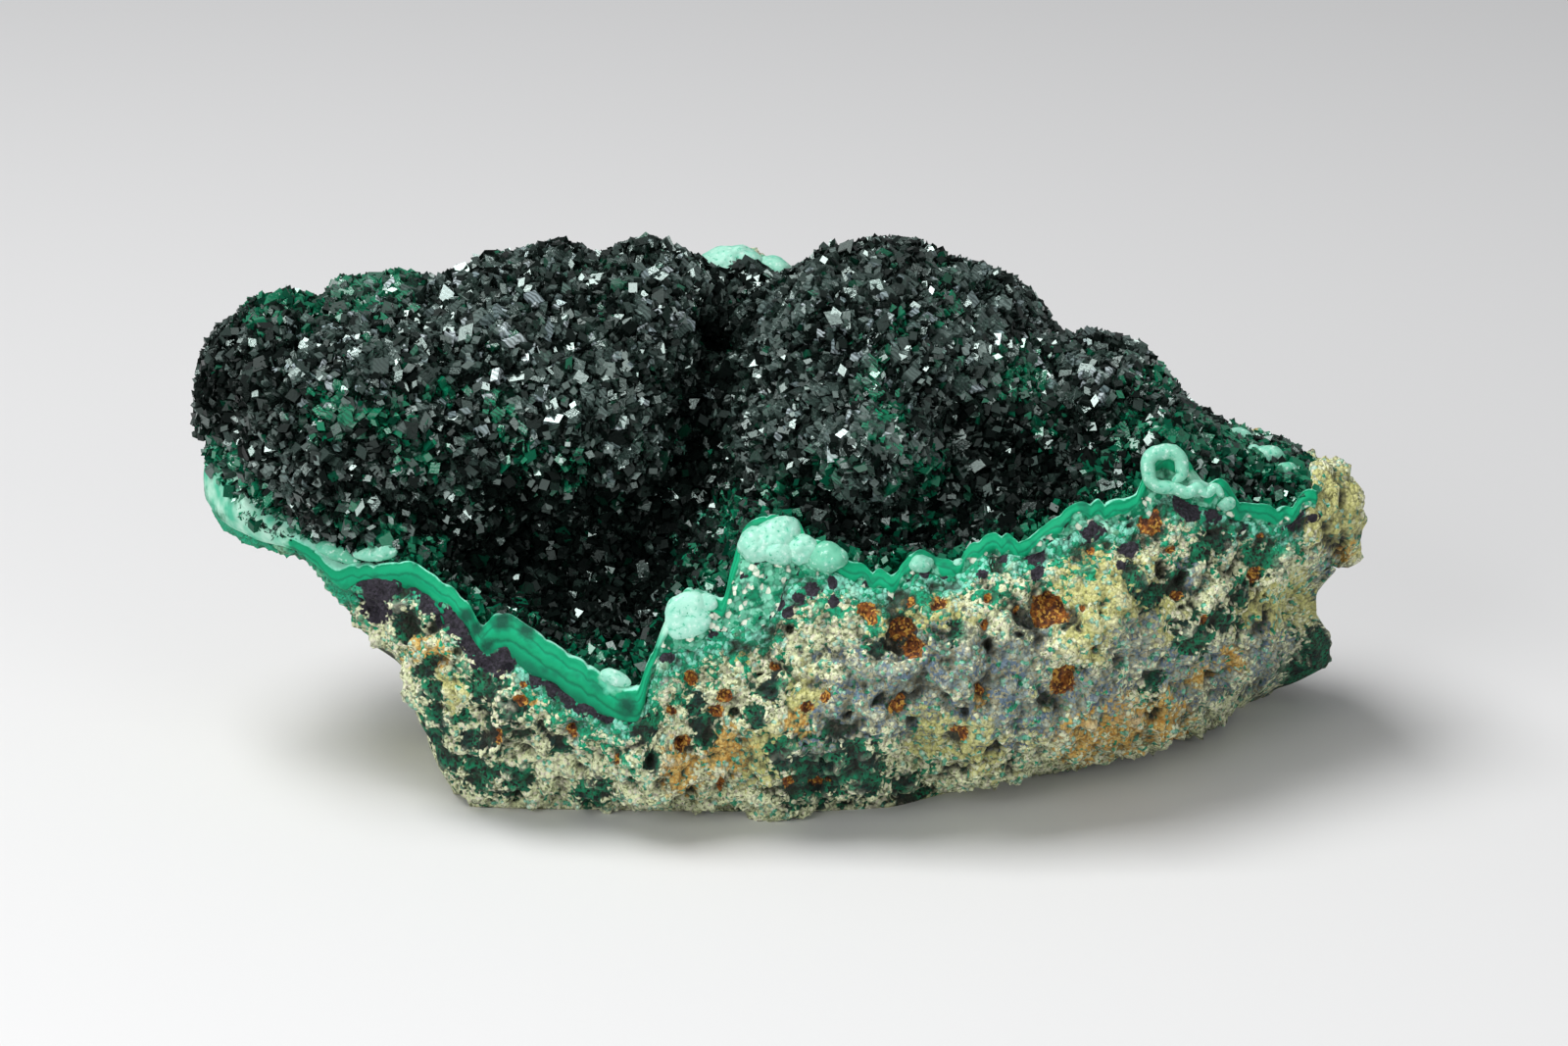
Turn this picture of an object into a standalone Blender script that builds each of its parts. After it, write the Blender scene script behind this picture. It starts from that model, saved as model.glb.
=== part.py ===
"""Banded malachite specimen: a granular matrix rock, a wavy malachite band along its broken front
edge, and a dark drusy crust lining the hollow above the band.

Frame: X runs along the specimen's length, Y points to its back, Z is up, and the specimen rests on
Z = 0 with the origin under the middle of its box.

Every cross-section of the stone is a closed smooth outline through thirteen guides that run from
its left end to its right end. A guide that shows at the front is given as it is seen from there:
millimetres across, millimetres up from the sight centre, and millimetres of depth. The others are
given as plain X, Y, Z in millimetres.
"""

import math

import bmesh
import bpy
import numpy as np

MM = 0.001

# Line of sight that the front guides are given along
SIGHT_TILT = math.radians(20.0)
SIGHT_DISTANCE = 600.0
SIGHT_HEIGHT = 25.8

# Middle of the specimen's box in the guides' millimetres, where the origin goes
BOX_MIDDLE = (-0.45, 1.29, 0.0)

# Ends of the stone and of the layers on it, millimetres
LEFT_END = -60.0
RIGHT_END = 59.0
LAYERS_END = 53.6
STEP_AFTER_LAYERS = 0.6
STEP_RUN = 0.1
LEFT_HOLD = -50.0
RIGHT_HOLD = 45.0

# Thicknesses and clearances, millimetres
LAYER_DEPTH = 2.3
HOLLOW_DEPTH = 1.6
FIT_GAP = 0.5
NORMAL_REACH = 4.5
MOST_LEAN = 2.2
SLIDE_LIMIT = 0.6
THINNING_REACH = 9.0
THINNEST = 0.5
SKIN_STEP = 0.02
RESTING_HEIGHT = 0.6
END_CALM = 9.0
ROOM_SHARE = 0.8

# Relief, millimetres
CRYSTAL_HEIGHT = 1.1
CRYSTAL_LUMPS = 0.7
ROCK_LUMPS = 1.8
ROCK_GRAIN = 0.5
BAND_SWELL = 0.6
SEED = 11

# Guides as they are seen from the front: across, up, depth
RIM = [
    (-58.9, 7.8, 1.5), (-57.8, 7.6, -1.0), (-56.5, 5.4, -3.5), (-55.4, 2.8, -5.5),
    (-54.0, 0.8, -6.5), (-52.2, -0.3, -7.5), (-50.2, -1.3, -8.5), (-47.5, -3.0, -10.0),
    (-45.4, -4.7, -11.5), (-43.7, -4.3, -12.5), (-41.5, -4.3, -13.5), (-38.4, -4.0, -14.5),
    (-36.4, -4.9, -15.0), (-34.4, -6.3, -16.0), (-32.4, -8.0, -17.5), (-30.8, -10.4, -18.5),
    (-28.6, -9.2, -19.0), (-26.4, -10.4, -20.0), (-23.5, -12.4, -21.5), (-20.6, -14.2, -22.5),
    (-17.8, -16.0, -23.5), (-15.1, -17.2, -24.5), (-13.8, -14.0, -23.5), (-12.6, -11.6, -22.5),
    (-11.4, -9.0, -21.5), (-9.5, -6.8, -20.5), (-7.6, -7.6, -21.0), (-6.4, -8.0, -21.0),
    (-5.0, -3.4, -18.5), (-3.6, -0.2, -17.0), (-1.2, 0.8, -16.5), (1.2, 0.4, -17.0),
    (2.8, -1.8, -19.0), (4.6, -2.3, -19.5), (6.6, -3.8, -20.0), (9.0, -4.9, -20.0),
    (11.6, -5.1, -20.0), (13.4, -2.9, -19.0), (15.6, -3.9, -19.0), (17.8, -3.9, -19.0),
    (19.6, -1.9, -18.0), (21.8, -1.2, -17.5), (24.4, -1.8, -17.5), (26.4, -0.7, -16.5),
    (29.0, 1.5, -15.5), (31.4, 2.1, -15.0), (34.0, 2.0, -14.5), (35.8, 3.2, -13.2),
    (37.2, 5.6, -11.6), (39.0, 7.4, -10.2), (41.0, 6.4, -10.2), (42.8, 4.2, -10.2),
    (44.4, 4.4, -9.5), (46.4, 2.2, -9.0), (49.0, 1.6, -8.0), (51.2, 1.4, -6.5),
    (53.6, 3.2, -4.5), (56.5, 2.9, -2.5), (59.1, 0.4, 0.5),
]
BAND_FOOT = [
    (-58.9, 2.2, 1.0), (-57.6, 0.5, -1.5), (-56.2, -0.6, -3.5), (-53.2, -1.9, -5.5),
    (-50.4, -2.7, -7.5), (-46.8, -5.0, -10.0), (-45.0, -6.8, -12.0), (-43.4, -6.0, -13.0),
    (-41.0, -5.7, -14.2), (-38.3, -5.8, -15.2), (-36.0, -6.9, -16.0), (-34.4, -8.2, -17.0),
    (-32.4, -10.6, -18.5), (-30.7, -13.2, -19.5), (-28.5, -12.8, -20.2), (-26.4, -15.0, -21.5),
    (-23.5, -16.4, -22.6), (-19.0, -19.2, -23.8), (-15.1, -20.4, -25.0), (-13.6, -16.6, -24.2),
    (-12.2, -13.4, -23.4), (-9.0, -12.9, -23.2), (-7.0, -11.3, -22.6), (-4.0, -11.2, -22.4),
    (-1.5, -10.2, -22.2), (0.2, -6.6, -21.2), (3.4, -5.2, -20.8), (6.0, -5.4, -20.8),
    (8.4, -6.6, -21.2), (11.6, -6.7, -21.2), (13.4, -4.7, -20.4), (16.0, -5.5, -20.4),
    (18.0, -5.2, -20.0), (20.6, -3.2, -19.0), (24.4, -3.3, -18.6), (28.4, -1.4, -17.2),
    (31.4, 0.0, -16.0), (34.0, -0.2, -15.6), (36.6, 1.0, -14.4), (39.0, 2.4, -13.2),
    (42.0, 1.8, -12.2), (46.4, 0.4, -10.4), (51.0, -0.2, -8.0), (53.6, 1.6, -6.0),
    (56.5, 0.6, -4.0), (59.1, -0.8, -0.3),
]
HOLLOW = [
    (-59.6, 10.2, 0.2), (-56.0, 8.2, -4.6), (-52.0, 3.2, -8.6), (-46.0, -1.6, -11.5),
    (-40.0, -2.4, -12.8), (-35.0, -3.8, -12.5), (-30.0, -7.2, -12.5), (-25.0, -8.8, -13.5),
    (-20.0, -10.6, -14.5), (-15.5, -12.0, -15.5), (-13.0, -8.6, -14.5), (-9.5, -3.4, -14.0),
    (-6.0, -2.4, -14.0), (-3.0, 3.0, -12.5), (1.0, 3.0, -13.0), (4.0, 0.2, -15.0),
    (8.0, -2.6, -15.5), (12.0, -2.4, -15.0), (17.0, -1.8, -14.5), (22.0, 0.8, -13.5),
    (27.0, 2.4, -12.5), (31.0, 4.4, -11.5), (35.0, 5.6, -10.5), (39.0, 9.6, -7.8),
    (43.0, 6.4, -7.2), (46.0, 4.6, -6.4), (50.0, 3.6, -4.6), (53.6, 4.2, -2.6),
    (56.5, 3.7, -0.8), (59.1, 0.9, 1.2),
]
UNDERCUT = [
    (-60.0, 11.8, 0.2), (-56.0, 10.4, -4.8), (-52.0, 6.2, -9.0), (-46.0, 1.4, -12.0),
    (-40.0, 0.8, -11.5), (-35.0, 0.0, -9.5), (-30.0, -1.2, -7.0), (-25.0, -2.4, -5.5),
    (-20.0, -3.8, -5.0), (-16.0, -4.2, -5.0), (-12.0, -2.0, -5.5), (-9.0, 1.0, -6.5),
    (-6.0, 3.2, -8.5), (-3.0, 6.0, -10.5), (1.0, 5.0, -11.5), (5.0, 2.0, -11.5),
    (9.0, -0.6, -10.5), (13.0, -0.5, -9.5), (17.0, 0.6, -9.5), (22.0, 3.2, -9.5),
    (27.0, 4.8, -9.0), (31.0, 7.0, -8.5), (35.0, 8.6, -7.5), (39.0, 11.0, -5.5),
    (43.0, 8.4, -4.8), (46.0, 6.2, -4.0), (50.0, 5.0, -2.4), (53.6, 5.0, -0.8),
    (56.5, 4.3, 0.6), (58.9, 1.3, 1.8),
]
FACE = [
    (-60.2, 13.2, 1.4), (-56.0, 13.4, -3.3), (-52.0, 11.0, -7.8), (-46.0, 8.0, -11.0),
    (-40.0, 8.0, -10.8), (-35.0, 8.0, -9.6), (-30.0, 7.2, -8.6), (-25.0, 6.6, -7.6),
    (-20.0, 6.6, -7.0), (-16.0, 6.8, -6.0), (-12.0, 8.0, -4.0), (-9.0, 9.0, -2.2),
    (-6.5, 9.6, -2.8), (-3.0, 10.0, -7.0), (1.0, 9.0, -9.8), (5.0, 7.2, -12.4),
    (9.0, 6.2, -13.8), (13.0, 6.6, -12.8), (17.0, 8.0, -8.8), (22.0, 9.0, -7.2),
    (27.0, 9.6, -6.2), (31.0, 11.4, -5.2), (35.0, 12.4, -4.2), (39.0, 12.8, -2.8),
    (43.0, 9.9, -2.0), (46.0, 7.6, -1.6), (50.0, 6.2, -0.2), (53.6, 5.6, 0.6),
    (56.5, 4.8, 1.6), (58.8, 1.6, 2.3),
]
BROW = [
    (-60.3, 14.6, 3.0), (-56.0, 17.4, 0.5), (-52.0, 18.4, -2.5), (-46.0, 18.2, -4.5),
    (-40.0, 19.0, -3.5), (-35.0, 19.2, -2.0), (-30.0, 20.2, -1.5), (-25.0, 20.8, -0.5),
    (-20.0, 21.2, -0.5), (-16.0, 22.2, 0.0), (-12.0, 21.4, 0.8), (-9.0, 19.6, 1.5),
    (-6.5, 18.0, 2.0), (-3.0, 18.4, 0.2), (1.0, 20.2, -2.5), (5.0, 22.6, -2.5),
    (9.0, 22.8, -2.2), (13.0, 21.8, -1.6), (17.0, 20.4, 0.0), (22.0, 19.6, 1.0),
    (27.0, 15.8, 2.0), (31.0, 16.0, 2.0), (35.0, 15.8, 2.6), (39.0, 14.4, 2.8),
    (43.0, 10.9, 2.6), (46.0, 8.6, 2.2), (50.0, 7.4, 3.0), (53.6, 6.1, 3.0),
    (56.5, 5.0, 3.0), (58.7, 1.8, 2.8),
]
CREST = [
    (-60.1, 15.8, 4.7), (-58.5, 18.8, 5.6), (-55.7, 20.9, 6.8), (-53.3, 23.6, 7.5),
    (-50.1, 23.9, 8.0), (-47.2, 22.7, 8.5), (-44.6, 24.5, 9.0), (-39.2, 25.7, 9.5),
    (-35.8, 24.9, 10.0), (-30.7, 27.0, 10.0), (-25.0, 27.7, 10.5), (-22.7, 28.9, 11.0),
    (-18.4, 27.2, 11.0), (-16.0, 28.6, 11.0), (-12.1, 29.2, 11.0), (-9.5, 27.4, 10.5),
    (-5.3, 24.0, 10.0), (-2.0, 24.0, 9.0), (0.6, 25.2, 8.5), (3.1, 27.4, 8.5),
    (5.8, 28.9, 8.5), (10.1, 28.3, 9.0), (14.5, 27.2, 9.0), (19.8, 26.7, 9.5),
    (23.4, 25.4, 10.0), (26.8, 21.0, 10.0), (29.5, 19.1, 10.0), (34.3, 18.1, 10.0),
    (37.7, 16.6, 9.5), (42.1, 12.0, 8.5), (45.5, 9.3, 7.5), (49.0, 8.5, 7.0),
    (53.6, 6.2, 6.0), (56.8, 4.7, 4.6), (58.6, 1.8, 3.5),
]
LOWER_EDGE = [
    (-58.6, 1.2, 3.0), (-56.0, -0.9, 0.0), (-53.0, -2.2, -2.5), (-50.0, -2.9, -5.0),
    (-46.5, -5.3, -8.0), (-45.0, -7.0, -10.0), (-43.6, -9.4, -11.5), (-41.8, -11.8, -12.5),
    (-40.0, -12.8, -13.5), (-37.8, -15.6, -14.0), (-36.8, -19.0, -14.5), (-36.2, -22.0, -15.0),
    (-34.8, -25.0, -15.5), (-32.8, -27.0, -15.5), (-28.0, -27.4, -16.0), (-24.0, -28.5, -16.0),
    (-19.0, -29.3, -16.0), (-13.0, -29.0, -16.0), (-6.5, -27.7, -16.0), (-3.0, -28.4, -16.5),
    (0.2, -29.6, -16.5), (3.6, -27.4, -16.5), (9.0, -28.6, -16.5), (14.5, -25.7, -16.0),
    (18.4, -26.2, -16.5), (21.0, -24.3, -16.0), (25.5, -23.4, -15.0), (30.0, -23.6, -14.0),
    (34.0, -23.0, -13.0), (38.4, -20.9, -10.5), (41.0, -17.8, -8.0), (46.0, -15.6, -4.0),
    (50.5, -12.6, 0.0), (53.6, -8.4, 2.4), (57.6, -4.9, 2.4),
]
BELLY = [
    (-58.8, 1.7, 1.6), (-56.0, -0.8, -2.0), (-53.0, -2.1, -4.5), (-50.0, -2.9, -6.8),
    (-46.5, -5.2, -9.6), (-45.0, -7.0, -11.6), (-43.0, -8.8, -14.0), (-40.0, -11.0, -15.8),
    (-37.0, -14.0, -17.5), (-34.0, -17.0, -19.0), (-30.0, -19.6, -20.6), (-25.0, -21.6, -21.6),
    (-20.0, -23.6, -22.4), (-15.0, -24.4, -22.8), (-10.0, -19.6, -23.4), (-5.0, -17.6, -24.0),
    (0.0, -16.6, -24.4), (5.0, -15.2, -24.8), (10.0, -14.6, -25.2), (15.0, -13.8, -25.2),
    (20.0, -13.2, -25.0), (25.0, -12.2, -24.2), (30.0, -10.6, -22.6), (35.0, -9.6, -20.2),
    (40.0, -8.6, -17.0), (45.0, -7.6, -13.2), (50.0, -6.0, -9.4), (54.0, -4.2, -5.4),
    (57.0, -3.6, -2.4), (59.0, -2.6, 0.6),
]

# Guides given as plain X, Y, Z
BACK_TOP = [
    (-59.4, 7.4, 38.6), (-57.5, 9.6, 41.0), (-55.0, 12.0, 42.4), (-48.0, 15.0, 43.5), (-40.0, 17.0, 44.0),
    (-30.0, 18.0, 45.0), (-20.0, 18.5, 46.0), (-12.0, 18.5, 46.5), (-9.0, 18.0, 48.2),
    (-6.5, 17.5, 49.6), (-3.5, 17.5, 49.0), (0.0, 17.0, 47.0), (6.0, 16.0, 47.0),
    (14.0, 17.0, 47.0), (22.0, 17.0, 45.5), (28.0, 17.0, 40.0), (35.0, 16.5, 38.0),
    (42.0, 15.0, 34.0), (48.0, 13.5, 31.5), (54.0, 11.0, 29.0), (57.6, 6.0, 27.0),
]
BACK = [
    (-58.8, 9.0, 32.0), (-50.0, 19.0, 27.0), (-40.0, 24.0, 24.0), (-25.0, 27.0, 24.0),
    (-10.0, 28.0, 25.0), (5.0, 27.5, 24.0), (20.0, 27.0, 22.0), (35.0, 25.5, 18.0),
    (45.0, 23.5, 14.0), (52.0, 20.5, 12.0), (57.9, 15.0, 10.5),
]
BACK_FOOT = [
    (-58.6, 7.5, 28.5), (-50.0, 13.0, 20.5), (-45.0, 15.0, 15.0), (-42.0, 16.0, 9.5),
    (-39.6, 17.0, 7.0), (-37.6, 17.5, 4.5), (-35.6, 18.0, 1.0), (-33.5, 18.5, 0.0),
    (-20.0, 20.0, 0.0), (0.0, 20.5, 0.0), (20.0, 20.5, 0.0), (40.0, 20.5, 0.0),
    (50.0, 19.5, 0.0), (54.5, 17.5, 1.2), (57.6, 15.0, 4.5),
]
FRONT_FOOT = [
    (-58.6, 5.0, 27.0), (-50.0, 0.0, 22.6), (-46.0, -4.5, 21.2), (-43.6, -7.5, 19.4),
    (-42.0, -8.5, 16.8), (-39.6, -9.8, 15.6), (-38.0, -10.5, 13.6), (-36.8, -11.0, 10.0),
    (-36.0, -11.6, 6.4), (-34.6, -12.2, 3.2), (-32.6, -13.0, 1.0), (-30.5, -13.4, 0.0),
    (-20.0, -14.0, 0.0), (0.0, -14.5, 0.0), (10.0, -13.5, 0.0), (16.0, -10.0, 0.0),
    (22.0, -6.0, 0.0), (30.0, 0.0, 0.0), (38.0, 4.5, 0.0), (43.0, 8.5, 0.0),
    (47.0, 12.5, 0.0), (51.0, 14.0, 1.0), (54.2, 10.0, 12.0),
]

# Swellings and dips of the crust as they are seen: across, up, radius, height
CRUST_RELIEF = [
    (-52.0, 15.0, 6.0, 2.0), (-41.0, 15.0, 7.0, 2.2), (-46.0, 4.0, 6.0, 1.8),
    (-33.0, 3.0, 7.0, 2.0), (-27.0, 20.0, 6.0, 2.0), (-20.0, 8.0, 7.0, 2.4),
    (-14.0, 21.0, 5.0, 1.6), (-6.6, 19.7, 2.0, -4.5), (-7.8, 14.0, 2.6, -3.5),
    (-9.0, 8.0, 2.8, -3.5), (-8.4, 2.0, 2.8, -3.0), (4.0, 20.0, 5.0, 1.6),
    (12.0, 22.0, 6.0, 2.0), (9.0, 7.0, 5.0, 2.2), (19.0, 17.0, 5.0, 1.6),
    (17.6, 10.0, 2.4, -2.6), (33.0, 15.0, 4.5, 1.8), (25.0, 11.0, 4.0, -1.2),
]
# Swellings and dips of the rock's front as they are seen: across, up, radius, height
ROCK_RELIEF = [
    (33.5, -7.5, 5.5, 2.4), (-29.4, -21.7, 2.2, 1.8), (12.3, -11.8, 1.8, -2.2),
    (27.1, -8.2, 1.6, -2.2), (28.6, -16.2, 2.2, -2.4), (-31.5, -20.0, 1.8, -1.6),
    (21.0, -20.0, 5.0, 1.4), (-10.0, -24.0, 6.0, 1.6), (5.0, -23.0, 5.0, 1.4),
]

# How far to the right the stone reaches at each height, as seen: up, across. A knob overhangs a
# notch, and a foot stands out again below it.
RIGHT_REACH = [
    (-24.0, 49.0), (-19.4, 50.5), (-17.4, 54.6), (-15.0, 56.8), (-12.6, 56.6), (-10.8, 55.4),
    (-9.2, 54.4), (-7.4, 54.4), (-5.8, 55.8), (-4.0, 57.6), (-2.0, 59.0),
]

# Cross-sections past the end of the layers, millimetres from the middle
BARE_STATIONS = [LAYERS_END + STEP_RUN, 55.5, 57.0, 58.2, RIGHT_END]

# Outline samples between guides, for each layer
CRUST_SAMPLES = [3, 4, 5, 6, 4, 2]
UNDER_CRUST_TURNS = [0.0, 0.4, 0.8, 1.2, 1.6, 2.0, 2.6, 3.3, 4.0, 4.5, 5.0, 5.5, 6.0]
ROCK_SAMPLES = [2, 4, 3, 2, 4, 4]
BAND_SAMPLES = 4
RING_SAMPLES = 24

# Positions of the guides around the outline
TURN_RIM, TURN_BACK_TOP, TURN_BACK_FOOT, TURN_FRONT_FOOT, TURN_BAND_FOOT, TURN_END = 0, 6, 8, 9, 12, 13


def placed(points):
    """World X, Y, Z of points given as seen: the sight line through (across, up) cut at the depth."""
    across, up, depth = np.asarray(points, float).T
    cosine = math.cos(SIGHT_TILT)
    sine = math.sin(SIGHT_TILT)
    lift = up * (SIGHT_DISTANCE + depth * cosine) - SIGHT_DISTANCE * depth * sine
    lift = lift / (SIGHT_DISTANCE * cosine + up * sine)
    away = SIGHT_DISTANCE + depth * cosine - lift * sine
    return np.stack([across * away / SIGHT_DISTANCE, depth, lift + SIGHT_HEIGHT], axis=1)


def seen(points):
    """Across and up of world points, as they are seen from the front."""
    depth = points[..., 1]
    lift = points[..., 2] - SIGHT_HEIGHT
    cosine = math.cos(SIGHT_TILT)
    sine = math.sin(SIGHT_TILT)
    scale = SIGHT_DISTANCE / (SIGHT_DISTANCE + depth * cosine - lift * sine)
    return points[..., 0] * scale, (depth * sine + lift * cosine) * scale


def smooth_through(knots, values, at):
    """Cubic through the knots whose slopes are harmonic means of the chords, so it never overshoots."""
    step = np.diff(knots)
    chord = np.diff(values, axis=0) / step[:, None]
    product = chord[1:] * chord[:-1]
    total = chord[1:] + chord[:-1]
    slope = np.zeros_like(values)
    slope[1:-1] = np.where(product > 0, 2 * product / np.where(product > 0, total, 1), 0)
    slope[0] = chord[0]
    slope[-1] = chord[-1]
    k = np.clip(np.searchsorted(knots, at, side="right") - 1, 0, len(knots) - 2)
    h = step[k][:, None]
    t = (np.asarray(at)[:, None] - knots[k][:, None]) / h
    rise = t * t * (3 - 2 * t)
    leave = t * (1 - t) ** 2 * h * slope[k]
    arrive = t * t * (1 - t) * h * slope[k + 1]
    return values[k] * (1 - rise) + values[k + 1] * rise + leave - arrive


def along(points, stations):
    """A guide's points at the stations, its two ends drawn out to the two ends of the stone."""
    across = points[:, 0]
    left = LEFT_HOLD + (across - LEFT_HOLD) * (LEFT_END - LEFT_HOLD) / (across[0] - LEFT_HOLD)
    right = RIGHT_HOLD + (across - RIGHT_HOLD) * (RIGHT_END - RIGHT_HOLD) / (across[-1] - RIGHT_HOLD)
    knots = np.where(across < LEFT_HOLD, left, np.where(across > RIGHT_HOLD, right, across))
    return smooth_through(knots, points, stations)


def outlines(stations):
    """Closed outlines at the stations, with RING_SAMPLES points from each guide to the next: cubics
    whose slopes weigh the two neighbouring chords by the other one's length."""
    front = [RIM, HOLLOW, UNDERCUT, FACE, BROW, CREST]
    back = [BACK_TOP, BACK, BACK_FOOT, FRONT_FOOT]
    lower = [LOWER_EDGE, BELLY, BAND_FOOT]
    guides = [placed(g) for g in front] + [np.array(g) for g in back] + [placed(g) for g in lower]
    net = np.stack([along(g, stations) for g in guides])
    ahead = np.roll(net, -1, axis=0) - net
    length = np.linalg.norm(ahead, axis=2, keepdims=True)
    behind = np.roll(ahead, 1, axis=0)
    behind_length = np.roll(length, 1, axis=0)
    slope = ahead / length * behind_length + behind / behind_length * length
    slope = slope / (length + behind_length)
    t = (np.arange(RING_SAMPLES) / RING_SAMPLES)[None, :, None, None]
    start, end = net[:, None], np.roll(net, -1, axis=0)[:, None]
    leave, arrive = slope[:, None], np.roll(slope, -1, axis=0)[:, None]
    rise = t * t * (3 - 2 * t)
    h = length[:, None]
    ring = start * (1 - rise) + end * rise + h * (t * (1 - t) ** 2 * leave - t * t * (1 - t) * arrive)
    return ring.reshape(-1, len(stations), 3).transpose(1, 0, 2)


def trace(rings, turns, slide, sink):
    """Points at guide positions (turns), slid along each outline and sunk below it, in millimetres.
    The direction to sink is square to the chord that reaches NORMAL_REACH to both sides."""
    found = np.empty((len(rings), len(turns), 3))
    outward = np.zeros_like(found)
    slide = np.broadcast_to(slide, found.shape[:2])
    for row, ring in enumerate(rings):
        closed = np.vstack([ring, ring[:1]])
        arc = np.concatenate([[0], np.cumsum(np.linalg.norm(np.diff(closed, axis=0), axis=1))])
        start = np.interp(np.mod(turns, TURN_END), np.arange(len(closed)) / RING_SAMPLES, arc)
        level = start + np.floor_divide(turns, TURN_END) * arc[-1]
        at = level + slide[row]
        at[:-1] = np.minimum(at[:-1], level[:-1] + SLIDE_LIMIT * np.diff(level))
        at[1:] = np.maximum(at[1:], level[1:] - SLIDE_LIMIT * np.diff(level))
        read = [np.interp(at, arc[:-1], ring[:, axis], period=arc[-1]) for axis in range(3)]
        found[row] = np.stack(read, axis=1)
        ends = [
            [np.interp(at + side * NORMAL_REACH, arc[:-1], ring[:, axis], period=arc[-1]) for axis in (1, 2)]
            for side in (-1, 1)
        ]
        run_y = ends[1][0] - ends[0][0]
        run_z = ends[1][1] - ends[0][1]
        size = np.maximum(np.hypot(run_y, run_z), 1e-6)
        outward[row, :, 1] = -run_z / size
        outward[row, :, 2] = run_y / size
    return found - outward * np.asarray(sink)[..., None], outward


def lean(rings, turn):
    """How much a gap measured along the outlines has to grow because the guide runs at a slant."""
    line = rings[:, turn * RING_SAMPLES]
    rise = np.gradient(line[:, 1:], line[:, 0], axis=0)
    return np.minimum(np.sqrt(1 + (rise ** 2).sum(axis=1)), MOST_LEAN)


def slides(rings, count, first, last):
    """Slides for the first and last of a layer's outline points; each is (turn, share of FIT_GAP)."""
    slide = np.zeros((len(rings), count))
    slide[:, 0] = lean(rings, first[0]) * first[1] * FIT_GAP
    slide[:, -1] = lean(rings, last[0]) * last[1] * FIT_GAP
    return slide


def layer_share(level):
    """Share of its full thickness that a layer has at the points: it thins towards both ends."""
    across = level[..., 0]
    to_end = np.minimum(across - LEFT_END, LAYERS_END - across)
    return np.clip(to_end / THINNING_REACH, THINNEST, 1.0)


def bed_depth(level, turns):
    """Depth of the crust's underside: more in the hollow, and deeper again below each dip."""
    dip = np.minimum(0, swelling(level, CRUST_RELIEF))
    hollow = np.where(turns < 3, np.sin(np.clip(turns, 0, 3) * np.pi / 3), 0)
    return (LAYER_DEPTH + HOLLOW_DEPTH * hollow) * layer_share(level) - dip


def noise(points, size):
    """Smooth value noise from 0 to 1: hashed corner values of a cubic lattice, eased between them."""
    cell = np.floor(points / size)
    t = points / size - cell
    t = t * t * (3 - 2 * t)
    total = np.zeros(points.shape[:-1])
    for corner in np.ndindex(2, 2, 2):
        place = cell + np.array(corner)
        mixed = place @ np.array([127.1, 311.7, 74.7])
        value = np.mod(np.sin(mixed) * 43758.5453, 1.0)
        weight = np.prod(np.where(np.array(corner) == 1, t, 1 - t), axis=-1)
        total += value * weight
    return total


def swelling(points, relief):
    """Height of the listed swellings at the points: a bell curve of the distance as seen."""
    across, up = seen(points)
    height = np.zeros(points.shape[:-1])
    for centre_across, centre_up, radius, rise in relief:
        square = (across - centre_across) ** 2 + (up - centre_up) ** 2
        height += rise * np.exp(-square / radius ** 2)
    return height


def drawn_in(points):
    """The points with the right end drawn in to RIGHT_REACH: an even squeeze from RIGHT_HOLD on."""
    across, up = seen(points)
    table = np.array(RIGHT_REACH)
    reach = np.interp(up, table[:, 0], table[:, 1]) * points[..., 0] / np.where(across == 0, 1, across)
    share = np.minimum((reach - RIGHT_HOLD) / (RIGHT_END - RIGHT_HOLD), 1.0)
    made = points.copy()
    past = points[..., 0] > RIGHT_HOLD
    made[..., 0] = np.where(past, RIGHT_HOLD + (points[..., 0] - RIGHT_HOLD) * share, points[..., 0])
    return made


def spread(samples, first_turn):
    """Guide positions with the given number of steps from each guide to the next."""
    turns = [first_turn + k + np.arange(n) / n for k, n in enumerate(samples)]
    return np.concatenate(turns + [[first_turn + len(samples)]])


def crust_rings(rings, random):
    """Outline of the crust: its crystal face, then its underside from back to front."""
    turns = spread(CRUST_SAMPLES, TURN_RIM)
    edges = ((TURN_RIM, 1.0), (TURN_BACK_TOP, -0.5))
    face, outward = trace(rings, turns, slides(rings, len(turns), *edges), np.zeros(len(turns)))
    height = swelling(face, CRUST_RELIEF) + CRYSTAL_LUMPS * (noise(face, 3.5) - 0.5) * 2
    height += CRYSTAL_HEIGHT * (random.random(height.shape) - 0.5)
    height = height * (layer_share(face) - THINNEST) / (1 - THINNEST)
    ease = np.ones(len(turns))
    ease[0], ease[1], ease[-2], ease[-1] = 0.0, 0.5, 0.6, 0.0
    face = face + outward * (height * ease)[..., None]
    under_turns = np.array(UNDER_CRUST_TURNS)
    under_slide = slides(rings, len(under_turns), *edges)
    level, _ = trace(rings, under_turns, under_slide, 0 * under_turns)
    under, _ = trace(rings, under_turns, under_slide, bed_depth(level, under_turns))
    made = np.concatenate([face, under[:, ::-1]], axis=1)
    made[-1, :, 0] = LAYERS_END - STEP_AFTER_LAYERS / 2
    return made


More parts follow.
